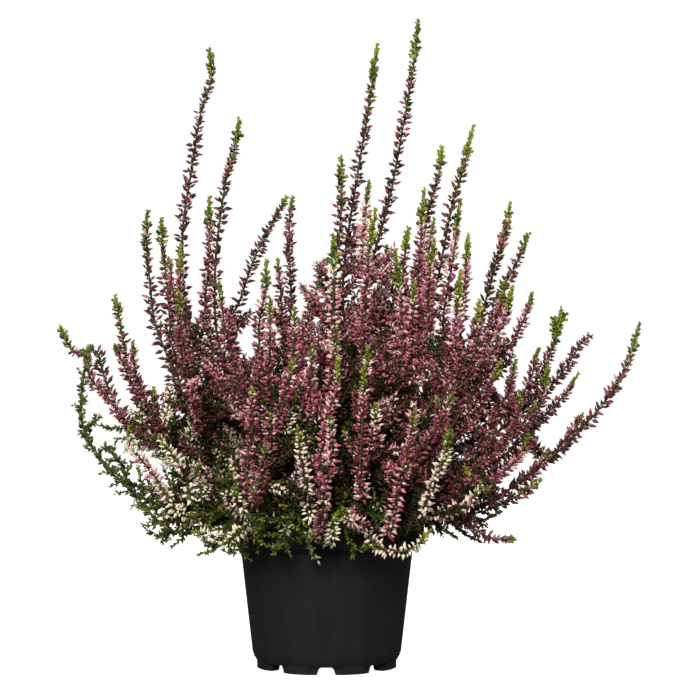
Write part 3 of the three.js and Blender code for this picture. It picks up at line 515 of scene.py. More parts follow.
LEAFY = [
    "leaf leafy 8 -15 -25 -66 97 -83 93 -101 100 -121 110 -145 136 -151 154 -147 196",
    "+ leaf leafy 5 -20 -22 -149 144 -145 148 -140 152",
    "+ leaf leafy 5 -16 -18 -121 110 -128 122 -136 134",
    "+ leaf leafy 5 -24 -28 -92 95 -98 85 -104 79",
    "leaf leafy 8 -30 -38 -64 95 -82 82 -97 84 -112 96",
    "+ leaf leafy 5 -34 -40 -74 88 -84 102 -96 112",
    "leaf leafy 8 -50 -56 -54 95 -62 84 -70 74 -80 68",
    "+ leaf leafy 5 -54 -64 -54 90 -54 78 -56 68",
    "+ leaf leafy 5 -50 -50 -60 88 -72 90 -84 94",
    "leaf leafy 8 -66 -72 -20 96 -24 84 -30 72 -36 65",
    "+ leaf leafy 5 -66 -74 -20 92 -14 80 -10 71",
    "+ leaf leafy 5 -64 -70 -22 92 -36 88 -44 84",
    "leaf leafy 8 -66 -72 8 96 10 86 14 76 22 68",
    "+ leaf leafy 5 -66 -72 10 92 2 82 -2 76",
    "+ leaf leafy 5 -62 -66 12 94 26 92 38 88",
    "leaf leafy 8 -20 -26 64 96 78 90 92 88 106 94",
    "+ leaf leafy 5 -24 -30 72 92 84 82 94 76",
    "leaf leafy 8 30 42 58 97 70 92 84 92 98 100",
    "+ leaf leafy 5 34 48 62 95 72 84 80 78",
    "leaf leafy 8 62 84 12 98 16 95 20 95 26 102",
    "+ leaf leafy 5 66 78 12 96 6 84 2 76",
    "leaf leafy 8 52 74 -36 98 -44 94 -52 96 -60 104",
    "+ leaf leafy 5 56 66 -38 96 -44 84 -50 76",
]

BACK_SPRAYS = 8
BACK_FROM, BACK_STEP = 16.0, 21.0  # degrees round from +X
BACK_RISE = (24.0, 52.0)  # degrees up, by turns
DOME, DOME_BASE = np.array([124.0, 112.0, 122.0]), 84.0  # half its size each way, and its foot
FILL_SHOOTS = 31
FILL_BLOOM = 40.0
GOLDEN_TURN = 2.399963


def on_dome(turn, rise, share):
    """A point of the dome that the bush fills out, or of a smaller one inside it."""
    level = math.cos(rise)
    direction = np.array([level * math.cos(turn), level * math.sin(turn), math.sin(rise)])
    return DOME * direction * share + (0, 0, DOME_BASE)


def new_shoot(tint, habit, green, line):
    return SimpleNamespace(tint=tint, habit=habit, green=green, line=np.array(line), inner=False)


def drawn_sprays(rows):
    """The sprays of a table, with their points in space, each on its line of sight."""
    sprays = []
    for row in rows:
        tint, habit, *numbers = row.removeprefix("+ ").split()
        green, low_depth, tip_depth, *xz = map(float, numbers)
        line = []
        for x, z, y in zip(xz[::2], xz[1::2], np.linspace(low_depth, tip_depth, len(xz) // 2)):
            scale = 1 + y / VIEW_DISTANCE
            across, up = (x - VIEW_RIGHT) * scale, (z - VIEW_HEIGHT) * scale
            line.append((VIEW_RIGHT + across, y, VIEW_HEIGHT + up))
        if not row.startswith("+"):
            sprays.append([])
        sprays[-1].append(new_shoot(tint, habit, green, line))
    return sprays


def back_shoot(i):
    """A main that leans back, low ones and high ones by turns."""
    turn, rise = math.radians(BACK_FROM + BACK_STEP * i), math.radians(BACK_RISE[i % 2])
    line = [on_dome(turn, rise * a, b) for a, b in ((0.6, 0.6), (0.85, 0.85), (1, 1.05))]
    return new_shoot("rose" if i % 3 else "dusk", "dense", 8, line)


def place_feet(lows):
    """Where each main stands in the soil: out towards its low end, then apart until none crowd."""
    across = np.hypot(*lows.T)
    feet = lows * (FEET_RADIUS * np.minimum(1, (across / FEET_SPAN) ** 0.8) / across)[:, None]
    for _ in range(FEET_ROUNDS):
        for i in range(len(feet)):
            for j in range(i + 1, len(feet)):
                x, y = feet[j] - feet[i]
                distance = math.hypot(x, y)
                if distance < FEET_APART:
                    push = np.array([x, y]) * (FEET_APART - distance) * 0.25 / distance
                    feet[i] -= push
                    feet[j] += push
        feet *= np.minimum(1, FEET_RADIUS / np.hypot(*feet.T))[:, None]
    return feet


def smooth_line(through, shares):
    """Points at shares of a smooth line through others, which turns least where they lie close."""
    knots = np.vstack([2 * through[0] - through[1], through, 2 * through[-1] - through[-2]])
    at = np.asarray(shares) * (len(through) - 1)
    first = np.minimum(at.astype(int), len(through) - 2)
    w = (at - first)[:, None]
    p0, p1, p2, p3 = (knots[first + k] for k in range(4))
    pairs = ((p0, p1), (p1, p2), (p2, p3))
    d0, d1, d2 = (np.sqrt(np.linalg.norm(b - a, axis=1))[:, None] for a, b in pairs)
    t1 = d1 * ((p1 - p0) / d0 - (p2 - p0) / (d0 + d1) + (p2 - p1) / d1)
    t2 = d1 * ((p2 - p1) / d1 - (p3 - p1) / (d1 + d2) + (p3 - p2) / d2)
    return (2 * (p1 - p2) + t1 + t2) * w**3 + (3 * (p2 - p1) - 2 * t1 - t2) * w**2 + t1 * w + p1


def lengths_along(points):
    """How far along a line each of its points is."""
    steps = np.linalg.norm(np.diff(points, axis=0), axis=1)
    return np.concatenate([[0], np.cumsum(steps)])


def run_shoot(shoot, root, firm, mother=None, joint=0):
    """
    Spaces points evenly along a shoot from its root, and finds where its growth starts. The first
    ones, as many as firm says, don't give way.
    """
    through = np.vstack([root, shoot.line])
    shares = np.linspace(0, 1, 201)
    along = lengths_along(smooth_line(through, shares))
    count = max(4, int(along[-1] / SAMPLE + 0.5))
    even = np.interp(np.linspace(0, along[-1], count + 1), along, shares)
    shoot.points = smooth_line(through, even)
    shoot.length = along[-1]
    shoot.bare = max(along[-1] - lengths_along(shoot.line)[-1], 0)
    shoot.firm, shoot.mother, shoot.joint = firm, mother, joint


def root_of_main(foot, low):
    """A main rises straight out of its hole, and leaves over the rim if it starts low."""
    root = [(*foot, z) for z in (HOLE_BOTTOM, *UPRIGHT)]
    across = math.hypot(low[0], low[1])
    if across > OVER_RIM_FROM and low[2] < OVER_RIM_BELOW:
        x, y = (part * OVER_RIM_AT / across for part in low[:2])
        root.append((x, y, POT_HEIGHT + OVER_RIM_HEIGHT))
    return np.array(root)


def joint_below(main, low):
    """The point of a main that a side shoot starts from, and its distance: the nearest below it."""
    points = main.points
    level = np.hypot(*(points - low)[:, :2].T)
    k = np.arange(len(points))
    below = (points[:, 2] < low[2] - 8 - 0.4 * level) | (k < FOOT_POINTS)
    distance = np.linalg.norm(points - low, axis=1)
    distance[~(below & (k >= FOOT_POINTS - 1) & (points[:, 2] > POT_HEIGHT))] = np.inf
    best = int(np.argmin(distance))
    if distance[best] < np.inf:
        return best, distance[best]
    return min(FOOT_POINTS, len(points) - 2), np.inf


def nearest_main(sprays, tip):
    """The spray whose main comes nearest below a tip, and the place of the joint on that main."""
    joints = [joint_below(s[0], tip) if s[0].habit != "leafy" else (0, np.inf) for s in sprays]
    nearest = int(np.argmin([distance for _, distance in joints]))
    return sprays[nearest], joints[nearest][0]


def bowed(start, tip, sag=0.0):
    """A line of three points that bows outwards on its way to a tip."""
    middle = start * 0.5 + tip * 0.5
    middle[:2] += 0.12 * (tip - start)[:2]
    middle[2] -= sag * np.linalg.norm(tip - start)
    return np.array([start, middle, tip])


def add_fill_shoot(sprays, i):
    """Adds a short shoot that fills the bush, on the main nearest to its tip."""
    rise = math.asin(0.1 + 0.86 * (i + 0.5) / FILL_SHOOTS)
    tip = on_dome(i * GOLDEN_TURN, rise, 0.96 if i % 3 else 0.78)
    spray, joint = nearest_main(sprays, tip)
    start = spray[0].points[joint]
    shoot = new_shoot("rose", "dense", 5, bowed(start, tip, 0.04)[1:])
    run_shoot(shoot, [start], 1, spray[0], joint)
    shoot.bare = max(shoot.length - FILL_BLOOM, 6)
    spray.append(shoot)


def away_from_pot(at, radius):
    """How far to move points so that they clear the pot's wall and the soil."""
    across = np.maximum(np.hypot(at[:, 0], at[:, 1]), 1e-6)
    inside = across < RIM_RADIUS - INSIDE_ROOM - radius
    up = POT_HEIGHT + radius + RIM_ROOM - at[:, 2]
    out = RIM_RADIUS + radius + RIM_ROOM - across
    near = ~inside & (up > 0) & (out > 0)
    above_soil = np.maximum(SOIL_TOP + SOIL_RELIEF + radius + ROOM - at[:, 2], 0)
    rise = np.where(inside, above_soil, 0) + np.where(near & (up < out), up, 0)
    outward = at[:, :2] / across[:, None] * np.where(near & (up >= out), out, 0)[:, None]
    return np.column_stack([outward, rise])


def give_way(shoots):
    """Bends stems round each other, mostly in depth, until they no longer touch."""
    starts = np.cumsum([0] + [len(shoot.points) for shoot in shoots])
    at = np.vstack([shoot.points for shoot in shoots])
    radius, order = [], []
    for shoot in shoots:
        along = np.linspace(0, shoot.length, len(shoot.points))
        width = np.where(along > shoot.length - shoot.green, TIP_ROOM, HALF_WIDTH[shoot.habit])
        radius.append(np.where(along < shoot.bare, BARE_ROOM, width))
        order.append(np.arange(len(shoot.points)))
    radius, order = np.concatenate(radius), np.concatenate(order)
    spray = np.concatenate([np.full(len(shoot.points), shoot.spray) for shoot in shoots])
    pairs = []
    for first, last in zip(starts[:-1], starts[1:]):
        for i in range(first, last):
            distance = np.linalg.norm(at[last:] - at[i], axis=1)
            near_foot = (order[i] < FOOT_POINTS) | (order[last:] < FOOT_POINTS)
            kin = (spray[last:] == spray[i]) & near_foot
            in_reach = distance < radius[i] + radius[last:] + TOUCH_REACH
            close = np.flatnonzero(in_reach & ~kin)
            pairs.append(np.column_stack([np.full(len(close), i), close + last]))
    a, b = np.vstack(pairs).T
    first_kinks = {}
    for turn in range(ROUNDS):
        late = turn > ROUNDS * LATE_FROM
        spread, stiff = (0.12, 0.06) if late else (0.25, 0.3)
        apart = at[b] - at[a]
        distance = np.linalg.norm(apart, axis=1)
        short = radius[a] + radius[b] + ROOM - distance
        touching = short > 0
        share = 0.35 * short[touching] / np.maximum(distance[touching], 0.01)
        push = apart[touching] * share[:, None]
        if not late:
            push *= (0.5, 1, 0.5)
        pushes = np.zeros_like(at)
        for axis in range(3):
            pushes[:, axis] += np.bincount(b[touching], push[:, axis], len(at))
            pushes[:, axis] -= np.bincount(a[touching], push[:, axis], len(at))
        for s, shoot in enumerate(shoots):
            own, dots = pushes[starts[s] : starts[s + 1]], at[starts[s] : starts[s + 1]]
            padded = np.vstack([own[:1], own, own[-1:]])
            smooth = own * (1 - 2 * spread) + (padded[:-2] + padded[2:]) * spread
            firm = shoot.firm
            dots[firm:] += smooth[firm:]
            if shoot.mother:
                dots[0] = at[starts[shoot.mother.index] + shoot.joint]
            kinks = (dots[firm - 1 : -2] + dots[firm + 1 :]) / 2 - dots[firm:-1]
            dots[firm:-1] += (kinks - first_kinks.setdefault(s, kinks.copy())) * stiff
            dots[firm:] += away_from_pot(dots[firm:], radius[starts[s] + firm : starts[s + 1]])
    for s, shoot in enumerate(shoots):
        shoot.points = at[starts[s] : starts[s + 1]]


flowering = drawn_sprays(FLOWERING) + [[back_shoot(i)] for i in range(BACK_SPRAYS)]
leafy_ones = drawn_sprays(LEAFY)
drawn = flowering + leafy_ones
names = [f"flower_spray_{i + 1:02d}" for i in range(len(flowering))]
names += [f"leafy_spray_{i + 1:02d}" for i in range(len(leafy_ones))]
feet = place_feet(np.array([spray[0].line[0][:2] for spray in drawn]))
for foot, (main, *sides) in zip(feet, drawn):
    run_shoot(main, root_of_main(foot, main.line[0]), 5)
    for side in sides:
        joint = joint_below(main, side.line[0])[0]
        run_shoot(side, [main.points[joint]], 1, main, joint)
for i in range(FILL_SHOOTS):
    add_fill_shoot(drawn, i)
shoots = [shoot for spray in drawn for shoot in spray]
for index, shoot in enumerate(shoots):
    shoot.index = index
for number, spray in enumerate(drawn):
    for shoot in spray:
        shoot.spray = number
give_way(shoots)

# ---- shoots: wood and leaves --------------------------------------------------------------------
# The stems are thin brown wood. The leaves are green scales 2 to 4 mm long that sit in opposite
# pairs, each pair turned across the last, so that a leafy tip looks four-sided and knobbly. Each
# spray's stems and leaves are one piece.

BARK_SIDES = 5
STEM_FOOT, SIDE_FOOT = 1.45, 0.8  # half the width of a main where it leaves the soil, and of a side
STEM_THIN = 0.58
TWIG_THICK, TWIG_THIN = 0.42, 0.27
LEAF_LENGTH, TIP_LEAF = 3.2, 4.2
LEAF_PITCH = 1.15  # from one pair to the next on a leafy shoot
TWIG_PITCH = 1.2
TWIG_EVERY, LEAFY_TWIG_EVERY = 3.0, 3.6  # along the bare part of a stem, and along a leafy one
TWIG_FROM = 96.0  # height
LOWEST_TWIG, LOWEST_RIGHT = 70.0, 84.0
TWIG_LIMIT = 100.0  # to the right
LEFT_OF, LEFT_BELOW = -15, 150  # twigs that start further left and lower have the left's looks
BUD_TWIGS_FROM = 100  # height
YOUNGER_BELOW, YOUNGER_FROM = 108, -75  # leafy twigs lower and further right are a little younger
STRAY_BUDS, CREAM = 0.24, 0.06  # share of the outer and rim's leafy twigs that bear cream buds
# The colour map that leaves and wood share: leaves take the left part, where age runs up from lime
# through dark green to brown, and wood takes a strip near the top of the right part.
LEAF_SHARE = 0.25
WOOD_LEFT, WOOD_WIDTH = 0.3, 0.69
WOOD_FROM, WOOD_TO = 0.86, 0.98


def make_skeleton(name, lines):
    """A mesh of loose lines, with one value of each attribute for every corner."""
    points, edges = [], []
    values = {key: [] for key in lines[0][1]}
    for line, given in lines:
        edges += [(len(points) + i, len(points) + i + 1) for i in range(len(line) - 1)]
        points += [tuple(p * MM + POT_AXIS) for p in line]
        for key, value in given.items():
            values[key] += list(np.broadcast_to(value, len(line)).astype(float))
    mesh = bpy.data.meshes.new(name)
    mesh.from_pydata(points, edges, [])
    for key, value in values.items():
        mesh.attributes.new(key, "FLOAT", "POINT").data.foreach_set("value", value)
    piece = bpy.data.objects.new(name, mesh)
    bpy.context.scene.collection.objects.link(piece)
    return piece


def make_template(name, rings):
    """
    One leaf or bud that points up from the origin, 1 long, from rings of (height, radius, corners).
    Its map's x is the height.
    """
    corners, faces = [(0, 0, 0)], []
    previous, sides = [0], rings[0][2]
    for height, radius, sides in rings:
        ring = range(len(corners), len(corners) + sides)
        turns = [(i + 0.5) / sides * 2 * math.pi for i in range(sides)]
        corners += [(radius * math.cos(t), radius * math.sin(t), height) for t in turns]
        for i in range(sides):
            after = (i + 1) % sides
            if len(previous) == 1:
                faces.append((ring[i], previous[0], ring[after]))
            else:
                faces.append((previous[i], previous[after], ring[after], ring[i]))
        previous = list(ring)
    corners.append((0, 0, 1))
    faces += [(previous[i], previous[(i + 1) % sides], len(corners) - 1) for i in range(sides)]
    piece = new_mesh(name, np.array(corners), faces)
    flat = [v for i, face in enumerate(faces) for k in face for v in (corners[k][2], i / len(faces))]
    piece.data.uv_layers.new(name="OFBake").data.foreach_set("uv", flat)
    return piece


def field(tree, name, kind="FLOAT"):
    """What an attribute holds."""
    return wire(tree, "GeometryNodeInputNamedAttribute", {"Name": name}, data_type=kind)


def store(geometry, name, value, domain="POINT", kind="FLOAT"):
    """Geometry with an attribute written on it."""
    inputs = {"Geometry": geometry, "Name": name, "Value": value}
    store_node = "GeometryNodeStoreNamedAttribute"
    return wire(geometry.id_data, store_node, inputs, data_type=kind, domain=domain)


def store_map(geometry, u, v):
    """Writes the colour map that a piece is looked up by."""
    place = wire(geometry.id_data, "ShaderNodeCombineXYZ", {0: u, 1: v})
    return store(geometry, "OFBake", place, "CORNER", "FLOAT2")


def scaled(vector, scale):
    inputs = {0: vector, "Scale": scale}
    return wire(vector.id_data, "ShaderNodeVectorMath", inputs, operation="SCALE")


def geometry_of(held):
    """The geometry of the object that a socket brings."""
    return wire(held.id_data, "GeometryNodeObjectInfo", {"Object": held}, out="Geometry")


# A group that sets copies of a template along lines, in opposite pairs. The lines bring attributes:
# the pitch from pair to pair, how far each copy leans out from the stem, its size, girth and tone.
whorls, given, out = new_tree(
    "pairs_along_lines",
    Object="Template",
    Float="Tone Spread, Size Spread, Shift, Span",
    Int="Seed",
)


def chance(low, high, place=0):
    """A random number for each copy. Each place gives numbers of its own."""
    return random_value(whorls, low, high, plus(given["Seed"], place))


pitch, tone = field(whorls, "pitch"), field(whorls, "tone")
curves = wire(whorls, "GeometryNodeMeshToCurve", {"Mesh": given["Geometry"]})
inputs = {"Curve": curves, "Length": pitch}
spaced = wire(whorls, "GeometryNodeResampleCurve", inputs, mode="LENGTH")
dots = node(whorls, "GeometryNodeCurveToPoints", {"Curve": spaced}, mode="EVALUATED").outputs
along = dots["Tangent"]
ranked = store(dots[0], "quarter", wire(whorls, "GeometryNodeInputIndex"))
inputs = {"Geometry": ranked, "Amount": 2}
doubled = node(whorls, "GeometryNodeDuplicateElements", inputs, domain="POINT").outputs
half_turn = times(doubled["Duplicate Index"], math.pi)
quarter_turn = times(field(whorls, "quarter"), math.pi / 2 + 0.33)
turn = plus(half_turn, quarter_turn, chance(-0.8, 0.8))
inputs = {"Vector": dots["Normal"], "Axis": along, "Angle": turn}
radial = wire(whorls, "ShaderNodeVectorRotate", inputs)
lean = plus(field(whorls, "lean"), chance(-0.48, 0.42, 1))
outward, upward = scaled(radial, maths("SINE", lean)), scaled(along, maths("COSINE", lean))
aim = wire(whorls, "ShaderNodeVectorMath", {0: outward, 1: upward})
size = times(field(whorls, "size"), plus(1, times(chance(-1, 1, 2), given["Size Spread"])))
width = times(size, field(whorls, "girth"))
slide = {"Geometry": doubled[0], "Offset": scaled(along, times(pitch, chance(-0.5, 0.5, 5)))}
inputs = {
    "Points": wire(whorls, "GeometryNodeSetPosition", slide),
    "Instance": geometry_of(given["Template"]),
    "Rotation": wire(whorls, "FunctionNodeAlignRotationToVector", {"Vector": aim}, axis="Z"),
    "Scale": wire(whorls, "ShaderNodeCombineXYZ", {0: width, 1: width, 2: size}),
}
copies = wire(whorls, "GeometryNodeInstanceOnPoints", inputs)
# two draws multiplied keep most copies near their line's tone and let a few stray far, and the
# lines of a pale tone stray least
stray = times(chance(-1, 1, 3), chance(0.3, 1, 4))
stray = times(stray, times(ranged(tone, 0.05, 0.4, 0.25, 1.0), given["Tone Spread"]))
inputs = {"Value": plus(tone, stray), "Min": 0.02, "Max": 0.96}
toned = store(copies, "tone", wire(whorls, "ShaderNodeClamp", inputs), "INSTANCE")
real = wire(whorls, "GeometryNodeRealizeInstances", {"Geometry": toned})
old_map = {0: field(whorls, "OFBake", "FLOAT_VECTOR")}
old_map = node(whorls, "ShaderNodeSeparateXYZ", old_map).outputs
u = times(old_map["X"], given["Span"])
v = plus(times(old_map["Y"], 0.03), times(tone, given["Shift"]))
feed(out, {"Geometry": store_map(real, u, v)})


def pairs_along(lines, template, seed, tone_spread, size_spread, shift=1.0, span=1.0):
    """Copies of a template in pairs along lines, by the group above."""
    inputs = {"Geometry": lines, "Template": template, "Seed": seed, "Shift": shift, "Span": span}
    inputs |= {"Tone Spread": tone_spread, "Size Spread": size_spread}
    return wire(lines.id_data, "GeometryNodeGroup", inputs, node_tree=whorls)


def smooth_faces(*parts):
    """Several geometries as one, with smooth faces."""
    return wire(parts[0].id_data, "GeometryNodeSetShadeSmooth", {"Geometry": join(*parts)})


# A tree that sweeps the stems' wood along their lines and adds the leaves.
shoots_tree, given, out = new_tree(
    "stems_and_leaves",
    Object="Leaf Lines, Leaf, Tip Lines, Tip Leaf",
    Int="Seed",
    Material="Bark, Green",
)
curves = wire(shoots_tree, "GeometryNodeMeshToCurve", {"Mesh": given["Geometry"]})
spline = node(shoots_tree, "GeometryNodeSplineParameter").outputs
circle = {"Resolution": BARK_SIDES, "Radius": 1.0}
circle = wire(shoots_tree, "GeometryNodeCurvePrimitiveCircle", circle)
inputs = {
    "Curve": store(curves, "along", spline["Length"]),
    "Profile Curve": store(circle, "around", spline["Factor"]),
    "Scale": field(shoots_tree, "thickness"),
    "Fill Caps": True,
}
wood = wire(shoots_tree, "GeometryNodeCurveToMesh", inputs)
back_and_forth = maths("PINGPONG", times(field(shoots_tree, "along"), 8.0), 1.0)
u = plus(WOOD_LEFT, times(back_and_forth, WOOD_WIDTH))
v = plus(WOOD_FROM, times(field(shoots_tree, "around"), WOOD_TO - WOOD_FROM))
inputs = {"Geometry": store_map(wood, u, v), "Material": given["Bark"]}
parts = [wire(shoots_tree, "GeometryNodeSetMaterial", inputs)]
for lines, template in (("Leaf Lines", "Leaf"), ("Tip Lines", "Tip Leaf")):
    lines = geometry_of(given[lines])
    leaves = pairs_along(lines, given[template], given["Seed"], 0.28, 0.25, 0.84, LEAF_SHARE)
    inputs = {"Geometry": leaves, "Material": given["Green"]}
    parts.append(wire(shoots_tree, "GeometryNodeSetMaterial", inputs))
feed(out, real_faces(smooth_faces(*parts)))

leaf = make_template("leaf_template", [(0.45, 0.2, 3)])
tip_leaf = make_template("tip_leaf_template", [(0.35, 0.15, 3), (0.84, 0.2, 3)])


def look_up(tree):
    """The place on the colour map that a piece is looked up by."""
    return wire(tree, "ShaderNodeUVMap", uv_map="OFBake")


green, tree, shader = new_material("heather_leaf", {"Roughness": 0.6, "Specular IOR Level": 0.15})
age = node(tree, "ShaderNodeSeparateXYZ", {0: look_up(tree)}).outputs
young_to_old = ramp(
    age["Y"],
    (0.0, (0.50, 0.54, 0.05)),
    (0.16, (0.25, 0.285, 0.026)),
    (0.34, (0.044, 0.078, 0.012)),
    (0.56, (0.014, 0.030, 0.004)),
    (0.72, (0.028, 0.016, 0.005)),
    (0.90, (0.022, 0.008, 0.003)),
)
paler_tip = ranged(times(age["X"], 1 / LEAF_SHARE), 0.55, 1.0, 0.0, 0.2)
feed(shader, {"Base Color": mixed(paler_tip, young_to_old, (0.18, 0.21, 0.04, 1))})

bark, tree, shader = new_material("heather_wood", {"Roughness": 0.8, "Specular IOR Level": 0.3})
stretched = {"Vector": look_up(tree), "Scale": (60, 40, 1)}
streaks = noise(wire(tree, "ShaderNodeMapping", stretched), 1.0, 4.0)
stops = (0.3, (0.025, 0.011, 0.007)), (0.5, (0.09, 0.050, 0.024)), (0.72, (0.19, 0.12, 0.055))
feed(shader, {"Base Color": ramp(streaks, *stops)})

# How far apart the pairs of buds are, how far they lean out from the stem, and their size.
BUD_HABITS = {"open": (2.3, 1.2, 1.22), "dense": (1.05, 1.2, 1.04)}
FLUSH = {"white": 0.08, "pale": 0.30, "rose": 0.54, "crimson": 0.68, "dusk": 0.76}
OPEN_FLUSH, OLD_FLUSH = 0.79, 0.72  # of open shoots, and of old buds below the others
TWIG_FLUSHES = {"left": (0.05, 0.1, 0.3), "right": (0.3, 0.44, 0.52, 0.6, 0.7, 0.84)}
GREEN_FADES = {"open": 32.0, "dense": 6.0}  # how far below the green tip leaves still show
SMALL_TIP = 10  # a dense shoot whose green tip is shorter has smaller and older leaves on it
LUSH_TIP, LUSH_FROM = 18, 100.0  # a green tip this long has three heads, from this far to the right
PLUME_EVERY = 17.0
PLUME_REACH = 0.98  # share of the dome that plumes stay inside
PLUME_SIDE = 105  # how far to a side they go
RIGHT_BRANCHES = 90  # shoots that end further right are the long branches there
FRONT_OF, FRONT_LEFT = -30, 75  # growth nearer than this, and left of this, hangs in front
CREAM_FROM, CREAM_OVER = 126, 24  # buds that hang there turn cream from this height, over this fall
OLD_FROM = 108  # height
CROWN_SPIKES, CROWN_DEPTH = 76, 55  # inner spikes under the crown, and how far down they go
FRONT_SPIKES = 38
INNER_BLOOM = 38.0
CROWN = ((-105, 170), (-60, 203), (0, 212), (40, 230), (75, 224), (105, 205), (128, 178))  # (x, z)
EVEN_STEPS = (0.618034, 0.732051, 0.414214)  # multiples of these spread evenly over 0 to 1
# Tips of more inner spikes, which back the places where the bush is thin.
BACKING_TIPS = (
    (-16, 25, 168), (-8, 35, 176), (-4, 15, 160), (26, 35, 226), (33, 25, 232), (38, 40, 222),
    (12, 40, 196), (18, 30, 204), (33, 30, 216), (37, 20, 211), (30, 45, 210), (-28, 20, 207),
    (-23, 35, 202), (-34, 30, 200), (-12, 40, 205), (27, 30, 213), (30, 35, 208), (23, 25, 207),
    (33, 32, 201), (16, 30, 252), (-5, 30, 236), (-1, 40, 230), (18, 30, 270), (-33, 30, 219),
    (40, 30, 243), (-14, 30, 199), (101, 25, 170), (-79, 20, 214), (24, 25, 253), (-16, 35, 234),
    (-13, 25, 227), (22, 30, 245), (37, 35, 237), (-6, 20, 247), (-77, 35, 209), (96, 25, 166),
    (133, 20, 169), (23, 30, 270), (-10, 15, 228),
)


def even_places(i):
    """Three numbers from 0 to 1 that spread evenly as i runs on."""
    return (i * step % 1 for step in EVEN_STEPS)


def crown_tip(i):
    """Where the tip of a short spike goes under the crown of the bush."""
    across, deep, low = even_places(i)
    x = CROWN[0][0] + (CROWN[-1][0] - CROWN[0][0]) * across
    return np.array([x, 70 * deep - 15, np.interp(x, *zip(*CROWN)) - CROWN_DEPTH * low])


def front_tip(i):
    """Where the tip of a short spike goes low in front, behind the spikes that hang there."""
    across, near, high = even_places(i)
    return np.array([150 * across - 60, -40 - 35 * near, 104 + 66 * high])


def add_inner_spike(i, tip):
    """Adds a short spike inside the bush, on the main nearest to its tip."""
    spray, joint = nearest_main(drawn, tip)
    spike = new_shoot(("dusk", "rose", "crimson")[i % 3], "dense", 4 if i % 4 == 0 else 0, ())
    spike.points = smooth_line(bowed(spray[0].points[joint], tip), np.linspace(0, 2, 13) / 2)
    spike.length = lengths_along(spike.points)[-1]
    spike.bare = max(spike.length - INNER_BLOOM, 4)
    spike.mother, spike.inner = spray[0], True
    spray.append(spike)


def unit(vector):
    return vector / np.linalg.norm(vector)


def part_of(shoot, start, end, step):
    """The stretch of a shoot's line between two lengths along it."""
    along = lengths_along(shoot.points)
    count = max(2, int((end - start) / step) + 1)
    wanted = np.linspace(start, min(end, along[-1]), count)
    return smooth_line(shoot.points, np.interp(wanted, along, np.linspace(0, 1, len(along))))


def start_and_way(shoot, along):
    """A point of a shoot's line, and the way that the shoot grows from there."""
    start, ahead = part_of(shoot, along, along + 2, 2)[[0, -1]]
    return start, unit(ahead - start)


def shares_of(line):
    return np.linspace(0, 1, len(line))


def green_line(points, pitch, lean, size, tone, girth=1.3):
    """A line of leaves, with what its leaves are like."""
    size = size * MM
    return points, {"pitch": pitch * MM, "lean": lean, "size": size, "tone": tone, "girth": girth}


def wood_line(line, foot, top):
    """A line of wood that thins from its foot to its top; both are half its width."""
    return line, {"thickness": (foot + (top - foot) * shares_of(line) ** 0.7) * MM}


def twig_line(start, direction, length, droop):
    """A short twig that curves up or down from where it starts."""
    share = np.linspace(0, 1, 4)[:, None]
    return start + direction * length * share + np.array([0, 0, droop * length]) * share**2


def crosses_pot(points):
    """Whether any point of a line is in the pot's wall or the soil."""
    across = np.hypot(points[:, 0], points[:, 1])
    in_wall = (np.abs(across - RIM_RADIUS) < 3.5) & (points[:, 2] < POT_HEIGHT + 1.5)
    in_soil = (across < RIM_RADIUS) & (points[:, 2] < SOIL_TOP + 2)
    return bool(np.any(in_wall | in_soil))


def add_leafy_length(shoot, growth):
    """The leaves of a shoot that bears no buds."""
    line = part_of(shoot, max(shoot.bare - 12, 6), shoot.length, 2.5)
    share = shares_of(line)
    size, age = LEAF_LENGTH * (1.2 - 0.4 * share), 0.58 - 0.3 * share**1.5
    growth.leaves.append(green_line(line, LEAF_PITCH, 0.95 - 0.35 * share, size, age))
    tip = part_of(shoot, shoot.length - shoot.green, shoot.length, 2.0)
    growth.tips.append(green_line(tip, 1.4, 0.8 - 0.4 * shares_of(tip), 2.6, 0.24, 1.2))


def add_green_tip(shoot, growth):
    """The leaves of a flowering shoot's tip: a slim cone of them, and blunt pairs that stand out."""
    bloom = shoot.length - shoot.green
    line = part_of(shoot, bloom - 2, shoot.length, 2.0)
    share = shares_of(line)
    small = shoot.habit == "dense" and shoot.green < SMALL_TIP
    own_share = line[-1, 0] * EVEN_STEPS[0] % 1
    young = (0.36 if small else 0.32) - 0.15 * share + 0.13 * own_share**2
    growth.leaves.append(green_line(line, 0.9, 0.8 - 0.35 * share, 3.4 - 1.0 * share, young))
    size = TIP_LEAF * (1 - 0.4 * share**1.5) * (0.8 if small else 1)
    growth.tips.append(green_line(line, 1.4, 1.0 - 0.5 * share, size, young - 0.06, 1.5))
    if shoot.green >= LUSH_TIP and line[-1, 0] > LUSH_FROM:
        up = unit(line[-1] - line[0])
        for side, height in (((-0.26, -0.1, 0), 0.2), ((0.22, -0.2, 0), 0.35)):
            head = twig_line(line[int(height * (len(line) - 1))], up + side, 9.5, 0.1)
            lean = 1.0 - 0.4 * shares_of(head)
            growth.wood.append(wood_line(head, TWIG_THICK, TWIG_THIN))
            growth.leaves.append(green_line(head, 0.9, 0.75, 3.2, 0.3))
            growth.tips.append(green_line(head, 1.3, lean, TIP_LEAF * 0.85, 0.26, 1.6))
    line = part_of(shoot, max(bloom - GREEN_FADES[shoot.habit], shoot.bare), bloom, 2.0)
    share = shares_of(line)
    size = (3.2 if shoot.habit == "open" else 2.2) + 1.3 * share
    growth.leaves.append(green_line(line, 1.7, 1.1, size, 0.44 - 0.16 * share))


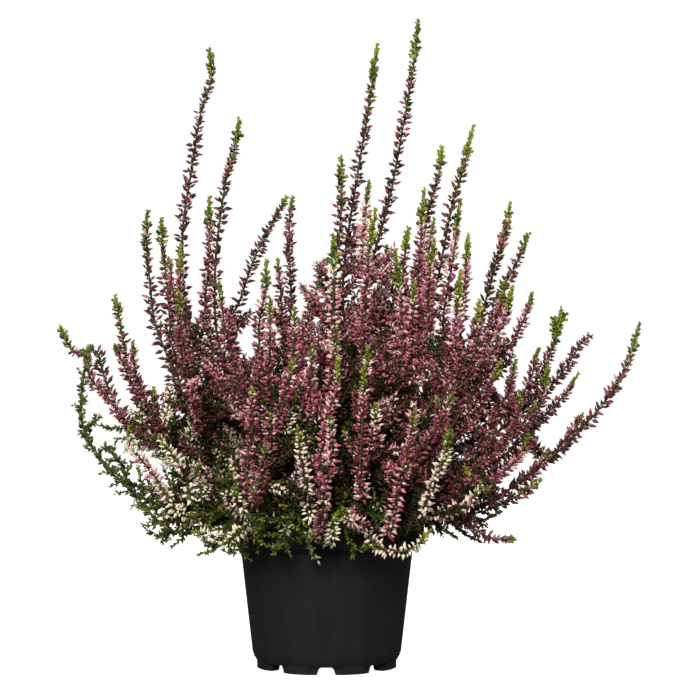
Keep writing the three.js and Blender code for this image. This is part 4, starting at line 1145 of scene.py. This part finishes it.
def add_twigs(shoot, number, growth):
    """Short twigs on the bare part of a stem, and all along a leafy one: some leafy, some in bud."""
    leafy = shoot.habit == "leafy"
    along = shoot.bare * 0.3 + 10 if shoot.mother is None else 6
    until = shoot.bare + (shoot.length * 0.8 if leafy else 0)
    while along < until:
        start, up = start_and_way(shoot, along)
        x, _, z = start
        along += (LEAFY_TWIG_EVERY if leafy else TWIG_EVERY) * numbers.uniform(0.6, 1.4)
        turn = (len(growth.leaves) + len(growth.buds) + number) * GOLDEN_TURN
        direction = up * 0.55 + unit(np.cross(up, (math.cos(turn), math.sin(turn), 0.2))) * 0.85
        side = "left" if x < LEFT_OF and z < LEFT_BELOW else "right"
        flowers = z > BUD_TWIGS_FROM and numbers.random() > (0.5 if side == "left" else 0.2)
        if leafy:
            length = numbers.uniform(8, 14) * np.interp(x, (-140, -100), (0.3, 1))
        else:
            length = numbers.uniform(13, 23)
        twig = twig_line(start, direction, length, numbers.uniform(-0.1, 0.4))
        too_low = twig[-1][2] < (LOWEST_RIGHT if x > 55 else LOWEST_TWIG)
        misplaced = z < TWIG_FROM and not leafy or too_low or twig[-1][0] > TWIG_LIMIT
        if misplaced or crosses_pot(twig):
            continue
        share = shares_of(twig)
        growth.wood.append(wood_line(twig, TWIG_THICK, TWIG_THIN))
        if flowers and not leafy:
            tone = numbers.choice(TWIG_FLUSHES[side])
            growth.inner.append((twig[1:], 1.25, 1.1, 1.0 - 0.2 * share[1:], tone))
            continue
        age = numbers.uniform(*((0.4, 0.6) if leafy or side == "left" else (0.68, 0.95)))
        if leafy and z < YOUNGER_BELOW and x > YOUNGER_FROM:
            age -= 0.04
        size = LEAF_LENGTH * (1.15 - 0.3 * share)
        age = age - 0.18 * share
        growth.leaves.append(green_line(twig, TWIG_PITCH, 0.95 - 0.35 * share, size, age))
        if leafy and -110 < x and (x < -64 or z < 96) and numbers.random() < STRAY_BUDS:
            growth.inner.append((twig[1:], 1.6, 1.2, 0.85, CREAM))


def add_plumes(shoot, number, growth):
    """Longer dark shoots of old leaves that fill the inside of the bush."""
    until = shoot.bare + 0.3 * (shoot.length - shoot.bare)
    for along in np.arange(shoot.bare * 0.45, until, PLUME_EVERY):
        start, up = start_and_way(shoot, along)
        turn = (len(growth.leaves) + 3 * number) * GOLDEN_TURN
        direction = up * 0.75 + np.array([math.cos(turn), math.sin(turn), 0.3]) * 0.6
        plume = twig_line(start, direction, numbers.uniform(24, 42), 0.1)
        x, _, z = plume.T
        inside = np.linalg.norm((plume - (0, 0, DOME_BASE)) / DOME, axis=1) < PLUME_REACH
        inside &= (np.abs(x) < PLUME_SIDE) & (z < np.interp(x, *zip(*CROWN)) - 5)
        if start[2] < TWIG_FROM or not inside.all() or crosses_pot(plume):
            continue
        share = shares_of(plume)
        growth.wood.append(wood_line(plume, 0.5, 0.3))
        leaves = green_line(plume, 1.6, 1.0 - 0.3 * share, 5.6 - share, 0.95 - 0.2 * share)
        growth.leaves.append(leaves)


def add_blooms(shoot, growth):
    """
    The buds of a flowering shoot: pale and small near its tip, and cream where it hangs low in
    front. Old ones sit below them on its bare part.
    """
    is_open = shoot.habit == "open"
    pitch, lean, size = BUD_HABITS[shoot.habit]
    line = part_of(shoot, shoot.bare, shoot.length - shoot.green, 2.5)
    share = shares_of(line)
    x, y, z = line.T
    right = x[-1] > RIGHT_BRANCHES
    flush, shrink, paling = FLUSH[shoot.tint], 0.3, 0.15 if right else 0.32
    if is_open:
        flush, shrink, paling = OPEN_FLUSH, 0.2 if right else 0.5, 0.42
    if shoot.tint == "white" and x[0] > 0:
        flush = 0.4 - 0.3 * share
    near_top = np.clip((share - 0.68) / 0.32, 0, 1)
    in_front = (y < FRONT_OF) * (x < FRONT_LEFT)
    creams = (0.75, 0.85, 0.95) if x[0] < 15 else (0.5, 0.75)
    hanging = np.clip((CREAM_FROM - z) / CREAM_OVER, 0, 1) * in_front * numbers.choice(creams)
    hanging = hanging * (shoot.tint != "dusk")
    outer = np.clip((np.abs(x - 15) - 40) / 70, 0, 1) * (z > 135) * (not is_open)
    tone = flush + 0.14 * (0.5 - share) - paling * near_top**1.2
    tone = tone + 0.16 * outer - 0.05 * in_front + 0.07 * (x < -20)
    if is_open and right:
        pitch, lean, tone = 1.9, 0.95, tone + 0.08 * (1 - near_top)
    tone = tone * (1 - hanging)
    lean = lean - 0.4 * near_top + 0.6 * hanging
    row = (line, pitch, lean, size * (1 - shrink * near_top), tone)
    (growth.inner if shoot.inner else growth.buds).append(row)
    old = part_of(shoot, max(shoot.bare - 26, shoot.bare * 0.45), shoot.bare, 2.5)
    old = old[old[:, 2] > OLD_FROM]
    if len(old) > 2:
        growth.inner.append((old, 1.3, 1.1, 0.95, OLD_FLUSH))


tips = [crown_tip(i) for i in range(CROWN_SPIKES)], [front_tip(i) for i in range(FRONT_SPIKES)]
for group in (*tips, np.array(BACKING_TIPS)):
    for i, tip in enumerate(group):
        add_inner_spike(i, tip)
growths = {}
for number, (name, spray) in enumerate(zip(names, drawn)):
    growth = growths[name] = SimpleNamespace(wood=[], leaves=[], tips=[], buds=[], inner=[])
    leafy = spray[0].habit == "leafy"
    for place, shoot in enumerate(spray):
        numbers = np.random.default_rng((7, number, place))
        line = part_of(shoot, 0, shoot.length, 3.6)
        growth.wood.append(wood_line(line, SIDE_FOOT if shoot.mother else STEM_FOOT, STEM_THIN))
        if leafy:
            add_leafy_length(shoot, growth)
        elif shoot.green:
            add_green_tip(shoot, growth)
        if not leafy:
            line = part_of(shoot, shoot.bare, shoot.length - shoot.green, 3.0)
            pitch, size = (2.4, 4.0) if shoot.habit == "open" else (2.6, 3.0)
            age = 0.72 - 0.14 * shares_of(line)
            growth.leaves.append(green_line(line, pitch, 1.0, size, age, 1.0))
        add_twigs(shoot, number, growth)
        if not leafy:
            add_plumes(shoot, number, growth)
            add_blooms(shoot, growth)
    piece = make_skeleton(f"{name}_shoots", growth.wood)
    lines = make_skeleton("leaf_lines", growth.leaves)
    tip_lines = make_skeleton("tip_lines", growth.tips)
    values = {"Leaf Lines": lines, "Leaf": leaf, "Tip Lines": tip_lines, "Tip Leaf": tip_leaf}
    grow_by_nodes(piece, shoots_tree, values | {"Seed": number, "Bark": bark, "Green": green})
    for done in (lines, tip_lines):
        bpy.data.objects.remove(done)
    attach(piece, "root")
    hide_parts(name)

# ---- shoots: buds -------------------------------------------------------------------------------
# The flowers never open: each is a slender closed bud about 4 mm long, that stands on a short green
# stalk. Its pale foot and pale tip are partly its own colour and partly painted highlight. They sit in
# opposite pairs all up the flowering part of a shoot.

BUD_LENGTH = 5.3  # with its short stalk

bud = make_template("bud_template", [(0.24, 0.045, 4), (0.47, 0.195, 4), (0.73, 0.125, 4)])
small_bud = make_template("small_bud_template", [(0.48, 0.18, 4)])
buds_tree, given, out = new_tree(
    "buds_on_shoots", Object="Bud, Inner Lines, Small Bud", Int="Seed", Material="Petals"
)
inner = geometry_of(given["Inner Lines"])
kinds = ((inner, given["Small Bud"]), (given["Geometry"], given["Bud"]))
parts = [pairs_along(*kind, given["Seed"], 0.37, 0.2) for kind in kinds]
feed(out, real_faces(smooth_faces(*parts), given["Petals"]))

petals, tree, shader = new_material("heather_buds", {"Roughness": 0.5, "Specular IOR Level": 0.2})
along, flush, _ = node(tree, "ShaderNodeSeparateXYZ", {0: look_up(tree)}).outputs
full = ramp(
    flush,
    (0.0, (0.92, 0.87, 0.62)),
    (0.14, (0.90, 0.73, 0.58)),
    (0.28, (0.72, 0.28, 0.37)),
    (0.44, (0.45, 0.080, 0.165)),
    (0.60, (0.27, 0.030, 0.060)),
    (0.75, (0.165, 0.020, 0.030)),
    (0.87, (0.10, 0.027, 0.023)),
    (0.98, (0.062, 0.022, 0.014)),
)
# the pale foot's colours: partly the bud's own, partly painted highlight
pale_foot_and_highlight = ramp(
    flush,
    (0.0, (0.64, 0.70, 0.32)),
    (0.30, (0.82, 0.60, 0.48)),
    (0.55, (0.50, 0.17, 0.18)),
    (0.75, (0.19, 0.042, 0.050)),
    (0.92, (0.10, 0.040, 0.026)),
)
# a fine noise along the flush gives each bud its own share of pale foot and pale tip, both partly
# painted highlight
own = noise(wire(tree, "ShaderNodeCombineXYZ", {0: maths("SNAP", flush, 0.004)}), 70.0, 2.0)
place = plus(along, ranged(own, 0.35, 0.65, -0.25, 0.25))
body = mixed(ranged(place, 0.42, 0.64, 0.0, 1.0), pale_foot_and_highlight, full)
# a pale tip that is partly the bud's own colour and partly painted highlight
body = mixed(ranged(place, 0.83, 1.0, 0.0, 0.62), body, (0.92, 0.68, 0.69, 1))
is_petal = ranged(along, 0.25, 0.37, 0.0, 1.0)
feed(shader, {"Base Color": mixed(is_petal, (0.030, 0.030, 0.008, 1), body)})


def bud_skeleton(name, rows):
    """The lines that buds sit along, with what the buds on each are like."""
    rows = ((line, pitch, lean, BUD_LENGTH * size, tone) for line, pitch, lean, size, tone in rows)
    return make_skeleton(name, [green_line(*row, girth=1.0) for row in rows])


for number, (name, spray) in enumerate(zip(names, drawn)):
    growth = growths[name]
    if not (growth.buds or growth.inner):
        continue
    piece = bud_skeleton(f"{name}_buds", growth.buds or growth.inner)
    inner = bud_skeleton("inner_lines", growth.inner or growth.buds[:1])
    values = {"Bud": bud if growth.buds else small_bud, "Inner Lines": inner}
    values |= {"Small Bud": small_bud, "Seed": number + 100, "Petals": petals}
    grow_by_nodes(piece, buds_tree, values)
    bpy.data.objects.remove(inner)
    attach(piece, "root")
    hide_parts(name)
for template in (leaf, tip_leaf, bud, small_bud):
    bpy.data.objects.remove(template)

# ---- stage --------------------------------------------------------------------------------------
# A pale studio floor under white light: a strong soft lamp in front and one behind, a weak one at
# each side, and a level camera that looks at the pot from the front.

FRAME_WIDTH = 428.0  # of the upright plane through the pot's axis
SENSOR = 36.0
FLOOR_SIZE = 8000.0
AIM = (0, 0, 0.2)  # of every lamp, in metres
FILL_LIGHT = 0.035  # even light from all sides; the backdrop itself is seen pure white

corners = np.array([(-1, -1, 0), (1, -1, 0), (1, 1, 0), (-1, 1, 0)]) * FLOOR_SIZE / 2 * MM
floor = new_mesh("studio_floor", corners, [(0, 1, 2, 3)])
plain = {"Base Color": (0.2, 0.2, 0.2, 1), "Roughness": 0.9, "Emission Color": (1, 1, 1, 1)}
pale, tree, shader = new_material("pale_floor", plain)
seen = wire(tree, "ShaderNodeLightPath", out="Is Camera Ray")
feed(shader, {"Emission Strength": seen})
floor.data.materials.append(pale)

camera = bpy.data.objects.new("front_camera", bpy.data.cameras.new("front_camera"))
bpy.context.scene.collection.objects.link(camera)
camera.location = POT_AXIS + np.array([VIEW_RIGHT, -VIEW_DISTANCE, VIEW_HEIGHT]) * MM
camera.rotation_euler = (math.pi / 2, 0, 0)
camera.data.sensor_width = SENSOR
camera.data.lens = SENSOR * VIEW_DISTANCE / FRAME_WIDTH
bpy.context.scene.camera = camera


def soft_lamp(name, place, size, power):
    """A square lamp with an even soft face, aimed at the plant."""
    lamp = bpy.data.objects.new(name, bpy.data.lights.new(name, "AREA"))
    bpy.context.scene.collection.objects.link(lamp)
    lamp.location = place
    lamp.rotation_euler = (Vector(AIM) - Vector(place)).to_track_quat("-Z", "Y").to_euler()
    lamp.data.size = size
    lamp.data.energy = power


soft_lamp("front_lamp", (-0.3, -1.75, 1.05), 0.8, 50)
soft_lamp("right_lamp", (1.6, 1.0, 1.0), 0.8, 15)
soft_lamp("left_lamp", (-1.6, 1.0, 1.0), 0.8, 8)
soft_lamp("back_lamp", (0.2, 1.7, 1.2), 1.0, 42)

world = bpy.data.worlds.new("white_studio")
bpy.context.scene.world = world
world.use_nodes = True
sky = world.node_tree
sky.nodes.clear()
strength = plus(FILL_LIGHT, wire(sky, "ShaderNodeLightPath", out="Is Camera Ray"))
white = wire(sky, "ShaderNodeBackground", {"Color": (1, 1, 1, 1), "Strength": strength})
node(sky, "ShaderNodeOutputWorld", {"Surface": white})
bpy.context.scene.view_settings.view_transform = "Standard"
